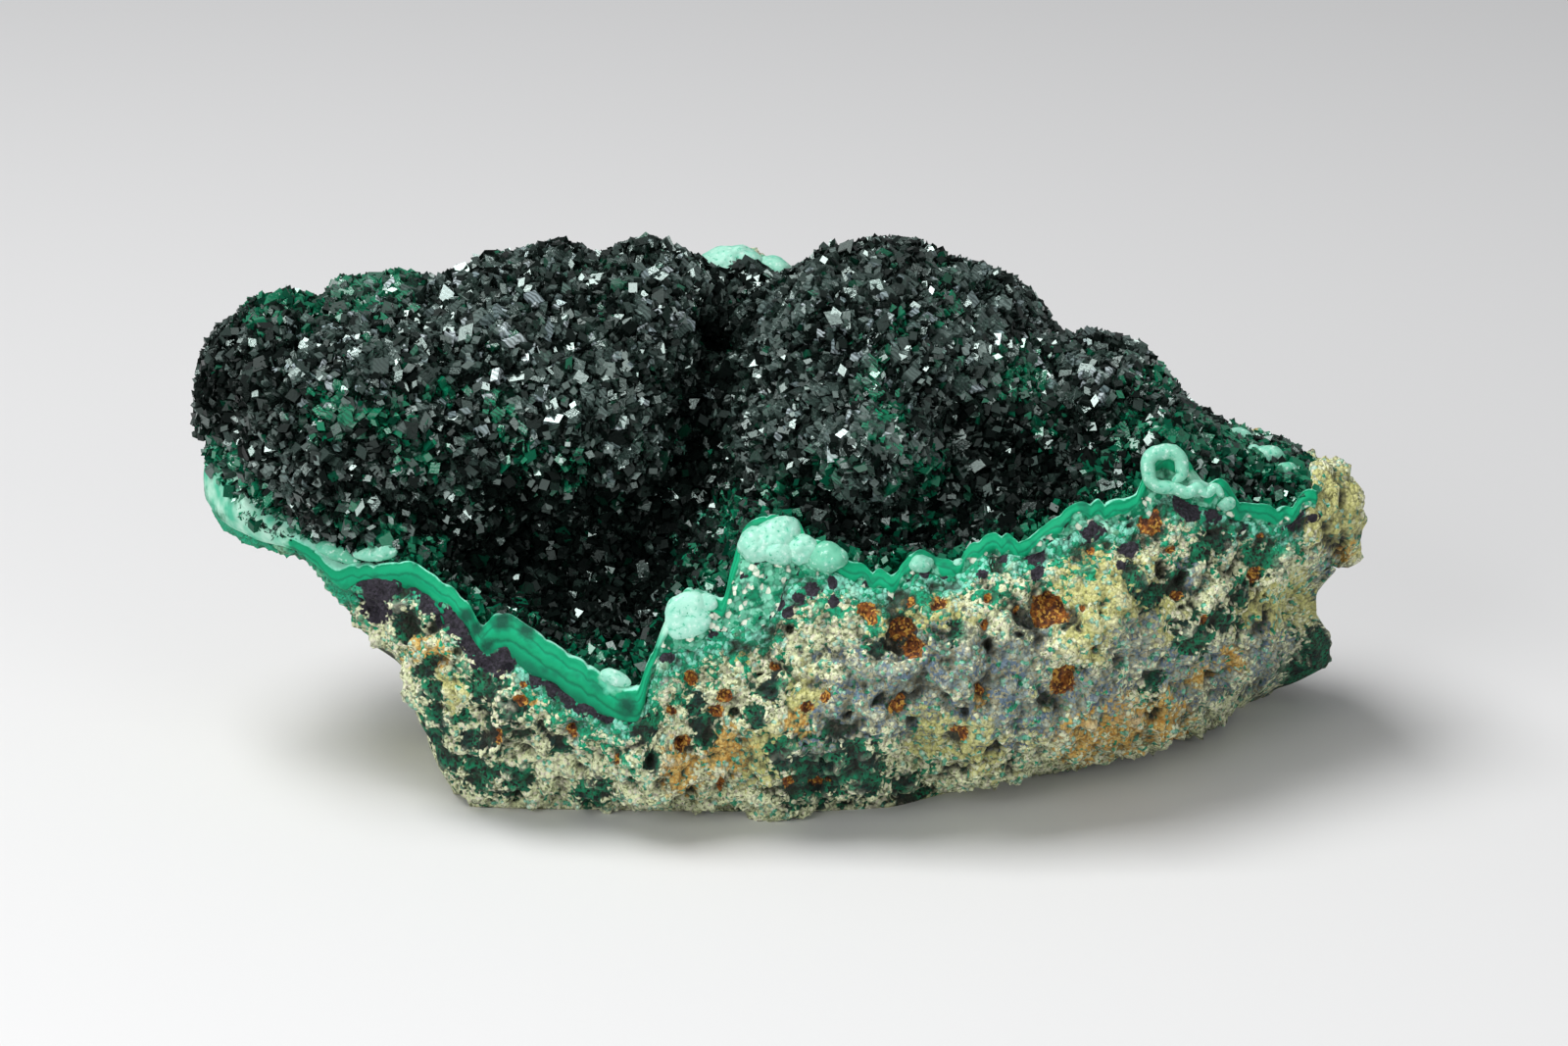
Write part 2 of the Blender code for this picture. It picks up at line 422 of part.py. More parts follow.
def band_rings(rings):
    """Outline of the band: its swollen edge from below upward, then its hidden side."""
    turns = TURN_BAND_FOOT + np.arange(BAND_SAMPLES + 1) / BAND_SAMPLES
    slide = slides(rings, len(turns), (TURN_BAND_FOOT, 0.2), (TURN_RIM, -0.2))
    edge, outward = trace(rings, turns, slide, np.zeros(len(turns)))
    bulge = BAND_SWELL * np.sin(np.linspace(0, np.pi, len(turns)))
    edge = edge + outward * bulge[:, None]
    hidden_turns = turns[[0, 2, -1]]
    hidden_slide = slide[:, [0, 2, -1]]
    level, _ = trace(rings, hidden_turns, hidden_slide, 0 * hidden_turns)
    hidden, _ = trace(rings, hidden_turns, hidden_slide, LAYER_DEPTH * layer_share(level))
    made = np.concatenate([edge, hidden[:, ::-1]], axis=1)
    made[-1, :, 0] = LAYERS_END - STEP_AFTER_LAYERS / 2
    return made


def rock_outer(rings, random):
    """The rock's own surface from the crust's back edge round below to the band's foot."""
    turns = spread(ROCK_SAMPLES, TURN_BACK_TOP)
    slide = slides(rings, len(turns), (TURN_BACK_TOP, 0.5), (TURN_BAND_FOOT, -0.9))
    skin, outward = trace(rings, turns, slide, np.zeros(len(turns)))
    height = ROCK_LUMPS * (noise(skin, 7.0) - 0.5) * 2 + ROCK_GRAIN * (random.random(skin.shape[:2]) - 0.5)
    height += np.where(skin[..., 1] < 0, swelling(skin, ROCK_RELIEF), 0)
    ease = np.ones(len(turns))
    ease[0], ease[1], ease[-2], ease[-1] = 0.0, 0.6, 0.5, 0.0
    on_foot = (turns >= TURN_BACK_FOOT) & (turns <= TURN_FRONT_FOOT)
    ease[on_foot] = 0.0
    gap = np.linalg.norm(np.diff(skin, axis=1), axis=2)
    room = ROOM_SHARE * np.minimum(np.pad(gap, ((0, 0), (1, 0)), mode="edge"),
                                   np.pad(gap, ((0, 0), (0, 1)), mode="edge"))
    height = np.clip(height, -room, room) * np.clip((RIGHT_END - skin[..., 0]) / END_CALM, 0.1, 1.0)
    skin = skin + outward * (height * ease)[..., None]
    resting = on_foot[None, :] & (skin[..., 2] < RESTING_HEIGHT)
    skin[..., 2] = np.where(resting, 0.0, np.maximum(skin[..., 2], 0.0))
    return skin


def rock_rings(rings, random, covered):
    """Outline of the rock: its own surface, then its bed under the band and the crust. Stations past
    the layers have no bed, and the outline stays at the surface there."""
    skin = rock_outer(rings, random)
    band_turns = np.array([0.0, 0.5, 1.0]) + TURN_BAND_FOOT
    crust_turns = np.array(UNDER_CRUST_TURNS)
    bed_turns = np.concatenate([band_turns, crust_turns + TURN_END])
    slide = slides(rings, len(bed_turns), (TURN_BAND_FOOT, -0.9), (TURN_BACK_TOP, 0.5))
    slide[:, 2] = lean(rings, TURN_RIM) * -0.2 * FIT_GAP
    slide[:, 3] = lean(rings, TURN_RIM) * FIT_GAP
    level, _ = trace(rings, bed_turns, slide, 0 * bed_turns)
    depth = LAYER_DEPTH * layer_share(level)
    depth[:, 3:] = bed_depth(level[:, 3:], crust_turns)
    bed, _ = trace(rings, bed_turns, slide, np.where(covered[:, None], depth + FIT_GAP, SKIN_STEP))
    last = np.flatnonzero(covered)[-1]
    bed[last, :, 0] = LAYERS_END + STEP_AFTER_LAYERS / 2
    bed[last + 1, :, 0] = LAYERS_END + STEP_AFTER_LAYERS / 2 + STEP_RUN
    skin[last + 1, :, 0] = LAYERS_END + STEP_AFTER_LAYERS / 2 + STEP_RUN
    return np.concatenate([skin, bed], axis=1)


def solid(name, rings, material):
    """A closed solid skinned over the rings, with a flat end at each side."""
    count, around = rings.shape[:2]
    mesh = bpy.data.meshes.new(name)
    bm = bmesh.new()
    grid = [[bm.verts.new(point) for point in ring] for ring in (rings - BOX_MIDDLE) * MM]
    for i in range(count - 1):
        for j in range(around):
            k = (j + 1) % around
            bm.faces.new((grid[i][j], grid[i + 1][j], grid[i + 1][k], grid[i][k]))
    bm.faces.new(grid[0])
    bm.faces.new(grid[-1])
    bmesh.ops.triangulate(bm, faces=bm.faces[:], quad_method="SHORT_EDGE", ngon_method="EAR_CLIP")
    bmesh.ops.recalc_face_normals(bm, faces=bm.faces[:])
    bm.to_mesh(mesh)
    bm.free()
    mesh.materials.append(material)
    made = bpy.data.objects.new(name, mesh)
    bpy.context.scene.collection.objects.link(made)
    return made


def finish(name, colour, roughness):
    """A plain Principled material."""
    made = bpy.data.materials.new(name)
    made.use_nodes = True
    shader = made.node_tree.nodes["Principled BSDF"]
    shader.inputs["Base Color"].default_value = (*colour, 1.0)
    shader.inputs["Roughness"].default_value = roughness
    shader.inputs["Metallic"].default_value = 0.0
    return made


def build():
    """Clears the scene and builds the three pieces."""
    for old in list(bpy.data.objects):
        bpy.data.objects.remove(old)
    random = np.random.default_rng(SEED)
    rim_across = placed(RIM)[:, 0]
    middle = rim_across[(rim_across > LEFT_END + 1) & (rim_across < LAYERS_END - 1)]
    layered = np.concatenate([[LEFT_END], middle, [LAYERS_END]])
    rock_stations = np.concatenate([layered, BARE_STATIONS])
    rock_outlines = outlines(rock_stations)
    layer_outlines = rock_outlines[: len(layered)]

    rock = rock_rings(rock_outlines, random, rock_stations <= LAYERS_END)
    solid("matrix_rock", drawn_in(rock), finish("granular_matrix", (0.52, 0.47, 0.26), 0.9))
    band = band_rings(layer_outlines)
    solid("malachite_band", band, finish("banded_malachite", (0.01, 0.36, 0.2), 0.45))
    crust = crust_rings(layer_outlines, random)
    solid("drusy_crust", crust, finish("drusy_crystals", (0.012, 0.03, 0.024), 0.25))


build()
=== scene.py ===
"""Banded malachite specimen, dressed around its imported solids.

The rock, the malachite layer and the crust follow the same outlines through thirteen guides as the
solids do, taken finer and given their grain, layering, vugs and crystals. Shapes are worked out in
the guides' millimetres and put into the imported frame's metres when their mesh is made.
"""

import math

import bpy
import numpy as np
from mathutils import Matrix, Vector


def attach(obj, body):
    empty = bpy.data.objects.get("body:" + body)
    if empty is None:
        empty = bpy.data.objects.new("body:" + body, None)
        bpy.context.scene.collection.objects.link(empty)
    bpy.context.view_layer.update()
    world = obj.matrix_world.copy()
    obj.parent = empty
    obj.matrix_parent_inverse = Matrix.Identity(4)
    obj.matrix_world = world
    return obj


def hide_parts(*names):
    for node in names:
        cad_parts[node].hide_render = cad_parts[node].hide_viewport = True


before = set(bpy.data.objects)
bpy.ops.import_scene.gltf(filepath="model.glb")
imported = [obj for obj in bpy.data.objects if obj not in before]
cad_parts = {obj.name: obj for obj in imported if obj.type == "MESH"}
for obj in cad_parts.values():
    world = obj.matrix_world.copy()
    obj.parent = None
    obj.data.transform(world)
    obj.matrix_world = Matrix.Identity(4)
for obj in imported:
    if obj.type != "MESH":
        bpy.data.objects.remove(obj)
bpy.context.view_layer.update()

MM = 0.001
SEED = 23

# Line of sight that the front guides are given along, and that the camera looks along: its tilt,
# its length in millimetres, and the height above the resting plane that it is aimed at
SIGHT_TILT = math.radians(20.0)
SIGHT_DISTANCE = 600.0
SIGHT_HEIGHT = 25.8

# Middle of the specimen's box in the guides' millimetres, where the origin is
BOX_MIDDLE = np.array([-0.45, 1.29, 0.0])

# Ends of the stone and of the layers on it, and where the drawing out of the guides to those ends
# begins, millimetres
LEFT_END = -60.0
RIGHT_END = 59.0
LAYERS_END = 53.6
LEFT_HOLD = -50.0
RIGHT_HOLD = 45.0

# Positions of the guides around the outline
TURN_RIM, TURN_BACK_TOP, TURN_BACK_FOOT, TURN_FRONT_FOOT = 0, 6, 8, 9
TURN_LOWER_EDGE, TURN_BAND_FOOT, TURN_END = 10, 12, 13

# Guides as they are seen from the front: across, up, depth
RIM = [
    (-58.9, 7.8, 1.5), (-57.8, 7.6, -1.0), (-56.5, 5.4, -3.5), (-55.4, 2.8, -5.5),
    (-54.0, 0.8, -6.5), (-52.2, -0.3, -7.5), (-50.2, -1.3, -8.5), (-47.5, -3.0, -10.0),
    (-45.4, -4.7, -11.5), (-43.7, -4.3, -12.5), (-41.5, -4.3, -13.5), (-38.4, -4.0, -14.5),
    (-36.4, -4.9, -15.0), (-34.4, -6.3, -16.0), (-32.4, -8.0, -17.5), (-30.8, -10.4, -18.5),
    (-28.6, -9.2, -19.0), (-26.4, -10.4, -20.0), (-23.5, -12.4, -21.5), (-20.6, -14.2, -22.5),
    (-17.8, -16.0, -23.5), (-15.1, -17.2, -24.5), (-13.8, -14.0, -23.5), (-12.6, -11.6, -22.5),
    (-11.4, -9.0, -21.5), (-9.5, -6.8, -20.5), (-7.6, -7.6, -21.0), (-6.4, -8.0, -21.0),
    (-5.0, -3.4, -18.5), (-3.6, -0.2, -17.0), (-1.2, 0.8, -16.5), (1.2, 0.4, -17.0),
    (2.8, -1.8, -19.0), (4.6, -2.3, -19.5), (6.6, -3.8, -20.0), (9.0, -4.9, -20.0),
    (11.6, -5.1, -20.0), (13.4, -2.9, -19.0), (15.6, -3.9, -19.0), (17.8, -3.9, -19.0),
    (19.6, -1.9, -18.0), (21.8, -1.2, -17.5), (24.4, -1.8, -17.5), (26.4, -0.7, -16.5),
    (29.0, 1.5, -15.5), (31.4, 2.1, -15.0), (34.0, 2.0, -14.5), (35.8, 3.2, -13.2),
    (37.2, 5.6, -11.6), (39.0, 7.4, -10.2), (41.0, 6.4, -10.2), (42.8, 4.2, -10.2),
    (44.4, 4.4, -9.5), (46.4, 2.2, -9.0), (49.0, 1.6, -8.0), (51.2, 1.4, -6.5),
    (53.6, 3.2, -4.5), (56.5, 2.9, -2.5), (59.1, 0.4, 0.5),
]
BAND_FOOT = [
    (-58.9, 2.2, 1.0), (-57.6, 0.5, -1.5), (-56.2, -0.6, -3.5), (-53.2, -1.9, -5.5),
    (-50.4, -2.7, -7.5), (-46.8, -5.0, -10.0), (-45.0, -6.8, -12.0), (-43.4, -6.0, -13.0),
    (-41.0, -5.7, -14.2), (-38.3, -5.8, -15.2), (-36.0, -6.9, -16.0), (-34.4, -8.2, -17.0),
    (-32.4, -10.6, -18.5), (-30.7, -13.2, -19.5), (-28.5, -12.8, -20.2), (-26.4, -15.0, -21.5),
    (-23.5, -16.4, -22.6), (-19.0, -19.2, -23.8), (-15.1, -20.4, -25.0), (-13.6, -16.6, -24.2),
    (-12.2, -13.4, -23.4), (-9.0, -12.9, -23.2), (-7.0, -11.3, -22.6), (-4.0, -11.2, -22.4),
    (-1.5, -10.2, -22.2), (0.2, -6.6, -21.2), (3.4, -5.2, -20.8), (6.0, -5.4, -20.8),
    (8.4, -6.6, -21.2), (11.6, -6.7, -21.2), (13.4, -4.7, -20.4), (16.0, -5.5, -20.4),
    (18.0, -5.2, -20.0), (20.6, -3.2, -19.0), (24.4, -3.3, -18.6), (28.4, -1.4, -17.2),
    (31.4, 0.0, -16.0), (34.0, -0.2, -15.6), (36.6, 1.0, -14.4), (39.0, 2.4, -13.2),
    (42.0, 1.8, -12.2), (46.4, 0.4, -10.4), (51.0, -0.2, -8.0), (53.6, 1.6, -6.0),
    (56.5, 0.6, -4.0), (59.1, -0.8, -0.3),
]
HOLLOW = [
    (-59.6, 10.2, 0.2), (-56.0, 8.2, -4.6), (-52.0, 3.2, -8.6), (-46.0, -1.6, -11.5),
    (-40.0, -2.4, -12.8), (-35.0, -3.8, -12.5), (-30.0, -7.2, -12.5), (-25.0, -8.8, -13.5),
    (-20.0, -10.6, -14.5), (-15.5, -12.0, -15.5), (-13.0, -8.6, -14.5), (-9.5, -3.4, -14.0),
    (-6.0, -2.4, -14.0), (-3.0, 3.0, -12.5), (1.0, 3.0, -13.0), (4.0, 0.2, -15.0),
    (8.0, -2.6, -15.5), (12.0, -2.4, -15.0), (17.0, -1.8, -14.5), (22.0, 0.8, -13.5),
    (27.0, 2.4, -12.5), (31.0, 4.4, -11.5), (35.0, 5.6, -10.5), (39.0, 9.6, -7.8),
    (43.0, 6.4, -7.2), (46.0, 4.6, -6.4), (50.0, 3.6, -4.6), (53.6, 4.2, -2.6),
    (56.5, 3.7, -0.8), (59.1, 0.9, 1.2),
]
UNDERCUT = [
    (-60.0, 11.8, 0.2), (-56.0, 10.4, -4.8), (-52.0, 6.2, -9.0), (-46.0, 1.4, -12.0),
    (-40.0, 0.8, -11.5), (-35.0, 0.0, -9.5), (-30.0, -1.2, -7.0), (-25.0, -2.4, -5.5),
    (-20.0, -3.8, -5.0), (-16.0, -4.2, -5.0), (-12.0, -2.0, -5.5), (-9.0, 1.0, -6.5),
    (-6.0, 3.2, -8.5), (-3.0, 6.0, -10.5), (1.0, 5.0, -11.5), (5.0, 2.0, -11.5),
    (9.0, -0.6, -10.5), (13.0, -0.5, -9.5), (17.0, 0.6, -9.5), (22.0, 3.2, -9.5),
    (27.0, 4.8, -9.0), (31.0, 7.0, -8.5), (35.0, 8.6, -7.5), (39.0, 11.0, -5.5),
    (43.0, 8.4, -4.8), (46.0, 6.2, -4.0), (50.0, 5.0, -2.4), (53.6, 5.0, -0.8),
    (56.5, 4.3, 0.6), (58.9, 1.3, 1.8),
]
FACE = [
    (-60.2, 13.2, 1.4), (-56.0, 13.4, -3.3), (-52.0, 11.0, -7.8), (-46.0, 8.0, -11.0),
    (-40.0, 8.0, -10.8), (-35.0, 8.0, -9.6), (-30.0, 7.2, -8.6), (-25.0, 6.6, -7.6),
    (-20.0, 6.6, -7.0), (-16.0, 6.8, -6.0), (-12.0, 8.0, -4.0), (-9.0, 9.0, -2.2),
    (-6.5, 9.6, -2.8), (-3.0, 10.0, -7.0), (1.0, 9.0, -9.8), (5.0, 7.2, -12.4),
    (9.0, 6.2, -13.8), (13.0, 6.6, -12.8), (17.0, 8.0, -8.8), (22.0, 9.0, -7.2),
    (27.0, 9.6, -6.2), (31.0, 11.4, -5.2), (35.0, 12.4, -4.2), (39.0, 12.8, -2.8),
    (43.0, 9.9, -2.0), (46.0, 7.6, -1.6), (50.0, 6.2, -0.2), (53.6, 5.6, 0.6),
    (56.5, 4.8, 1.6), (58.8, 1.6, 2.3),
]
BROW = [
    (-60.3, 14.6, 3.0), (-56.0, 17.4, 0.5), (-52.0, 18.4, -2.5), (-46.0, 18.2, -4.5),
    (-40.0, 19.0, -3.5), (-35.0, 19.2, -2.0), (-30.0, 20.2, -1.5), (-25.0, 20.8, -0.5),
    (-20.0, 21.2, -0.5), (-16.0, 22.2, 0.0), (-12.0, 21.4, 0.8), (-9.0, 19.6, 1.5),
    (-6.5, 18.0, 2.0), (-3.0, 18.4, 0.2), (1.0, 20.2, -2.5), (5.0, 22.6, -2.5),
    (9.0, 22.8, -2.2), (13.0, 21.8, -1.6), (17.0, 20.4, 0.0), (22.0, 19.6, 1.0),
    (27.0, 15.8, 2.0), (31.0, 16.0, 2.0), (35.0, 15.8, 2.6), (39.0, 14.4, 2.8),
    (43.0, 10.9, 2.6), (46.0, 8.6, 2.2), (50.0, 7.4, 3.0), (53.6, 6.1, 3.0),
    (56.5, 5.0, 3.0), (58.7, 1.8, 2.8),
]
CREST = [
    (-60.1, 15.8, 4.7), (-58.5, 18.8, 5.6), (-55.7, 20.9, 6.8), (-53.3, 23.6, 7.5),
    (-50.1, 23.9, 8.0), (-47.2, 22.7, 8.5), (-44.6, 24.5, 9.0), (-39.2, 25.7, 9.5),
    (-35.8, 24.9, 10.0), (-30.7, 27.0, 10.0), (-25.0, 27.7, 10.5), (-22.7, 28.9, 11.0),
    (-18.4, 27.2, 11.0), (-16.0, 28.6, 11.0), (-12.1, 29.2, 11.0), (-9.5, 27.4, 10.5),
    (-5.3, 24.0, 10.0), (-2.0, 24.0, 9.0), (0.6, 25.2, 8.5), (3.1, 27.4, 8.5),
    (5.8, 28.9, 8.5), (10.1, 28.3, 9.0), (14.5, 27.2, 9.0), (19.8, 26.7, 9.5),
    (23.4, 25.4, 10.0), (26.8, 21.0, 10.0), (29.5, 19.1, 10.0), (34.3, 18.1, 10.0),
    (37.7, 16.6, 9.5), (42.1, 12.0, 8.5), (45.5, 9.3, 7.5), (49.0, 8.5, 7.0),
    (53.6, 6.2, 6.0), (56.8, 4.7, 4.6), (58.6, 1.8, 3.5),
]
LOWER_EDGE = [
    (-58.6, 1.2, 3.0), (-56.0, -0.9, 0.0), (-53.0, -2.2, -2.5), (-50.0, -2.9, -5.0),
    (-46.5, -5.3, -8.0), (-45.0, -7.0, -10.0), (-43.6, -9.4, -11.5), (-41.8, -11.8, -12.5),
    (-40.0, -12.8, -13.5), (-37.8, -15.6, -14.0), (-36.8, -19.0, -14.5), (-36.2, -22.0, -15.0),
    (-34.8, -25.0, -15.5), (-32.8, -27.0, -15.5), (-28.0, -27.4, -16.0), (-24.0, -28.5, -16.0),
    (-19.0, -29.3, -16.0), (-13.0, -29.0, -16.0), (-6.5, -27.7, -16.0), (-3.0, -28.4, -16.5),
    (0.2, -29.6, -16.5), (3.6, -27.4, -16.5), (9.0, -28.6, -16.5), (14.5, -25.7, -16.0),
    (18.4, -26.2, -16.5), (21.0, -24.3, -16.0), (25.5, -23.4, -15.0), (30.0, -23.6, -14.0),
    (34.0, -23.0, -13.0), (38.4, -20.9, -10.5), (41.0, -17.8, -8.0), (46.0, -15.6, -4.0),
    (50.5, -12.6, 0.0), (53.6, -8.4, 2.4), (57.6, -4.9, 2.4),
]
BELLY = [
    (-58.8, 1.7, 1.6), (-56.0, -0.8, -2.0), (-53.0, -2.1, -4.5), (-50.0, -2.9, -6.8),
    (-46.5, -5.2, -9.6), (-45.0, -7.0, -11.6), (-43.0, -8.8, -14.0), (-40.0, -11.0, -15.8),
    (-37.0, -14.0, -17.5), (-34.0, -17.0, -19.0), (-30.0, -19.6, -20.6), (-25.0, -21.6, -21.6),
    (-20.0, -23.6, -22.4), (-15.0, -24.4, -22.8), (-10.0, -19.6, -23.4), (-5.0, -17.6, -24.0),
    (0.0, -16.6, -24.4), (5.0, -15.2, -24.8), (10.0, -14.6, -25.2), (15.0, -13.8, -25.2),
    (20.0, -13.2, -25.0), (25.0, -12.2, -24.2), (30.0, -10.6, -22.6), (35.0, -9.6, -20.2),
    (40.0, -8.6, -17.0), (45.0, -7.6, -13.2), (50.0, -6.0, -9.4), (54.0, -4.2, -5.4),
    (57.0, -3.6, -2.4), (59.0, -2.6, 0.6),
]

# Guides given as plain X, Y, Z
BACK_TOP = [
    (-59.4, 7.4, 38.6), (-57.5, 9.6, 41.0), (-55.0, 12.0, 42.4), (-48.0, 15.0, 43.5),
    (-40.0, 17.0, 44.0), (-30.0, 18.0, 45.0), (-20.0, 18.5, 46.0), (-12.0, 18.5, 46.5),
    (-9.0, 18.0, 48.2), (-6.5, 17.5, 49.6), (-3.5, 17.5, 49.0), (0.0, 17.0, 47.0),
    (6.0, 16.0, 47.0), (14.0, 17.0, 47.0), (22.0, 17.0, 45.5), (28.0, 17.0, 40.0),
    (35.0, 16.5, 38.0), (42.0, 15.0, 34.0), (48.0, 13.5, 31.5), (54.0, 11.0, 29.0),
    (57.6, 6.0, 27.0),
]
BACK = [
    (-58.8, 9.0, 32.0), (-50.0, 19.0, 27.0), (-40.0, 24.0, 24.0), (-25.0, 27.0, 24.0),
    (-10.0, 28.0, 25.0), (5.0, 27.5, 24.0), (20.0, 27.0, 22.0), (35.0, 25.5, 18.0),
    (45.0, 23.5, 14.0), (52.0, 20.5, 12.0), (57.9, 15.0, 10.5),
]
BACK_FOOT = [
    (-58.6, 7.5, 28.5), (-50.0, 13.0, 20.5), (-45.0, 15.0, 15.0), (-42.0, 16.0, 9.5),
    (-39.6, 17.0, 7.0), (-37.6, 17.5, 4.5), (-35.6, 18.0, 1.0), (-33.5, 18.5, 0.0),
    (-20.0, 20.0, 0.0), (0.0, 20.5, 0.0), (20.0, 20.5, 0.0), (40.0, 20.5, 0.0),
    (50.0, 19.5, 0.0), (54.5, 17.5, 1.2), (57.6, 15.0, 4.5),
]
FRONT_FOOT = [
    (-58.6, 5.0, 27.0), (-50.0, 0.0, 22.6), (-46.0, -4.5, 21.2), (-43.6, -7.5, 19.4),
    (-42.0, -8.5, 16.8), (-39.6, -9.8, 15.6), (-38.0, -10.5, 13.6), (-36.8, -11.0, 10.0),
    (-36.0, -11.6, 6.4), (-34.6, -12.2, 3.2), (-32.6, -13.0, 1.0), (-30.5, -13.4, 0.0),
    (-20.0, -14.0, 0.0), (0.0, -14.5, 0.0), (10.0, -13.5, 0.0), (16.0, -10.0, 0.0),
    (22.0, -6.0, 0.0), (30.0, 0.0, 0.0), (38.0, 4.5, 0.0), (43.0, 8.5, 0.0),
    (47.0, 12.5, 0.0), (51.0, 14.0, 1.0), (54.2, 10.0, 12.0),
]

# Relief of the solids, repeated finer here, as seen: across, up, radius, height
CRUST_RELIEF = [
    (-52.0, 15.0, 6.0, 2.0), (-41.0, 15.0, 7.0, 2.2), (-46.0, 4.0, 6.0, 1.8),
    (-33.0, 3.0, 7.0, 2.0), (-27.0, 20.0, 6.0, 2.0), (-20.0, 8.0, 7.0, 2.4),
    (-14.0, 21.0, 5.0, 1.6), (-6.6, 19.7, 2.0, -4.5), (-7.8, 14.0, 2.6, -3.5),
    (-9.0, 8.0, 2.8, -3.5), (-8.4, 2.0, 2.8, -3.0), (4.0, 20.0, 5.0, 1.6),
    (12.0, 22.0, 6.0, 2.0), (9.0, 7.0, 5.0, 2.2), (19.0, 17.0, 5.0, 1.6),
    (17.6, 10.0, 2.4, -2.6), (33.0, 15.0, 4.5, 1.8), (25.0, 11.0, 4.0, -1.2),
]
ROCK_RELIEF = [
    (33.5, -7.5, 5.5, 2.4), (-29.4, -21.7, 2.2, 1.8), (12.3, -11.8, 1.8, -2.2),
    (27.1, -8.2, 1.6, -2.2), (28.6, -16.2, 2.2, -2.4), (-31.5, -20.0, 1.8, -1.6),
    (21.0, -20.0, 5.0, 1.4), (-10.0, -24.0, 6.0, 1.6), (5.0, -23.0, 5.0, 1.4),
]

# Heights in millimetres of the lumps on the rock and the crust, of the band's swell and of the lip
# along its rim, and the width and height of the rim's scallops
ROCK_LUMPS = 1.8
CRUST_LUMPS = 0.7
BAND_SWELL = 0.35
BAND_LIP = 0.22
SCALLOP_WIDTH = 2.7
SCALLOP_RISE = 0.6

# Fineness of the pieces: spacing along the length in millimetres, samples round the outline from
# each guide to the next, and across the rock's bed under the layers
ROCK_STEP = 0.26
ROCK_SAMPLES = [28, 30, 10, 18, 50, 54]
BED_SAMPLES = 18
BAND_STEP = 0.2
BAND_SAMPLES = 30

# The same two for the crust's bed, for placing its crystals and for placing its knobs
BED_GRID = 0.8, [6, 8, 10, 12, 12, 8]
DRUSE_GRID = 0.6, [10, 12, 16, 18, 18, 12]
KNOB_GRID = 0.5, [8, 12, 14, 16, 16, 12]

# How deep the rock's bed lies below the layers; where the rock's rings end at the right, and how
# many are left off at the left, so that its domes stay within the solid's ends; how far the crust
# keeps inside the left tip; millimetres
BED_DEPTH = 1.4
ROCK_RIGHT = 57.9
ROCK_INSET = 3
TIP_INSET = 0.9

# Sizes of the rings that close a dome, as shares of the ring that it stands on
END_SHARES = [0.96, 0.86, 0.7, 0.5, 0.28, 0.1]

# Crystals: usual width and the width from which they are tablets, millimetres; how many to a square
# millimetre of the crust and of the pale lip; how deep their roots lie under the crust's surface;
# width of a rosette; and where those that grow over the lip come to an end
CRYSTAL_WIDTH = 0.5
TABLET_WIDTH = 0.72
CRYSTALS_PER_AREA = 10.0
LIP_CRYSTALS_PER_AREA = 12.0
CRYSTAL_ROOT = 1.0
ROSETTE_SIZE = 1.9
LIP_DRUSE_END = -46.0
DRUSE_PARTS = [
    ("druse_left", -80.0, -36.0), ("druse_left_lobe", -36.0, -17.0),
    ("druse_valley", -17.0, 3.0), ("druse_centre_lobe", 3.0, 22.0), ("druse_right", 22.0, 80.0),
]

# How far to the right the stone reaches at each height, as seen: up, across
RIGHT_REACH = [
    (-24.0, 49.0), (-19.4, 50.5), (-17.4, 54.6), (-15.0, 56.8), (-12.6, 56.6), (-10.8, 55.4),
    (-9.2, 54.4), (-7.4, 54.4), (-5.8, 55.8), (-4.0, 57.6), (-2.0, 59.0),
]

# Spots on the rock's front as seen: across, up, radius
RUST_HOLES = [
    (27.1, -8.35, 1.3), (12.0, -11.0, 1.0), (12.8, -12.8, 0.9), (37.4, 0.35, 1.2),
    (28.4, -16.2, 1.2), (4.2, -17.5, 0.8), (2.3, -19.0, 0.7), (-6.1, -17.7, 0.9),
    (-9.5, -16.0, 0.7), (-11.6, -19.4, 0.5), (-10.4, -22.5, 0.7), (-7.0, -19.6, 0.7),
    (-17.2, -24.3, 0.5), (-21.6, -21.3, 0.6), (8.5, -9.1, 1.0), (12.6, -8.0, 0.6),
    (15.6, -8.5, 0.6), (20.8, -7.6, 0.5), (20.3, -10.2, 0.5), (23.9, -8.6, 0.4), (30.5, -8.5, 0.4),
    (31.8, -12.8, 0.4), (40.5, -7.6, 0.6), (11.7, -19.1, 0.8), (19.9, -17.2, 0.5),
    (17.7, -21.5, 0.7), (0.2, -26.8, 0.7), (-6.3, -26.8, 0.5), (3.4, -26.8, 0.5), (49.0, -5.3, 0.8),
    (54.7, 4.3, 0.6), (54.7, 3.0, 0.6), (-29.5, -21.8, 0.8), (-26.6, -16.2, 0.4),
    (-26.9, -18.2, 0.7), (48.8, -1.4, 0.5), (31.4, -2.8, 0.4), (39.5, -2.6, 0.4),
    (43.0, -10.0, 0.4), (-1.5, -14.5, 0.4),
]
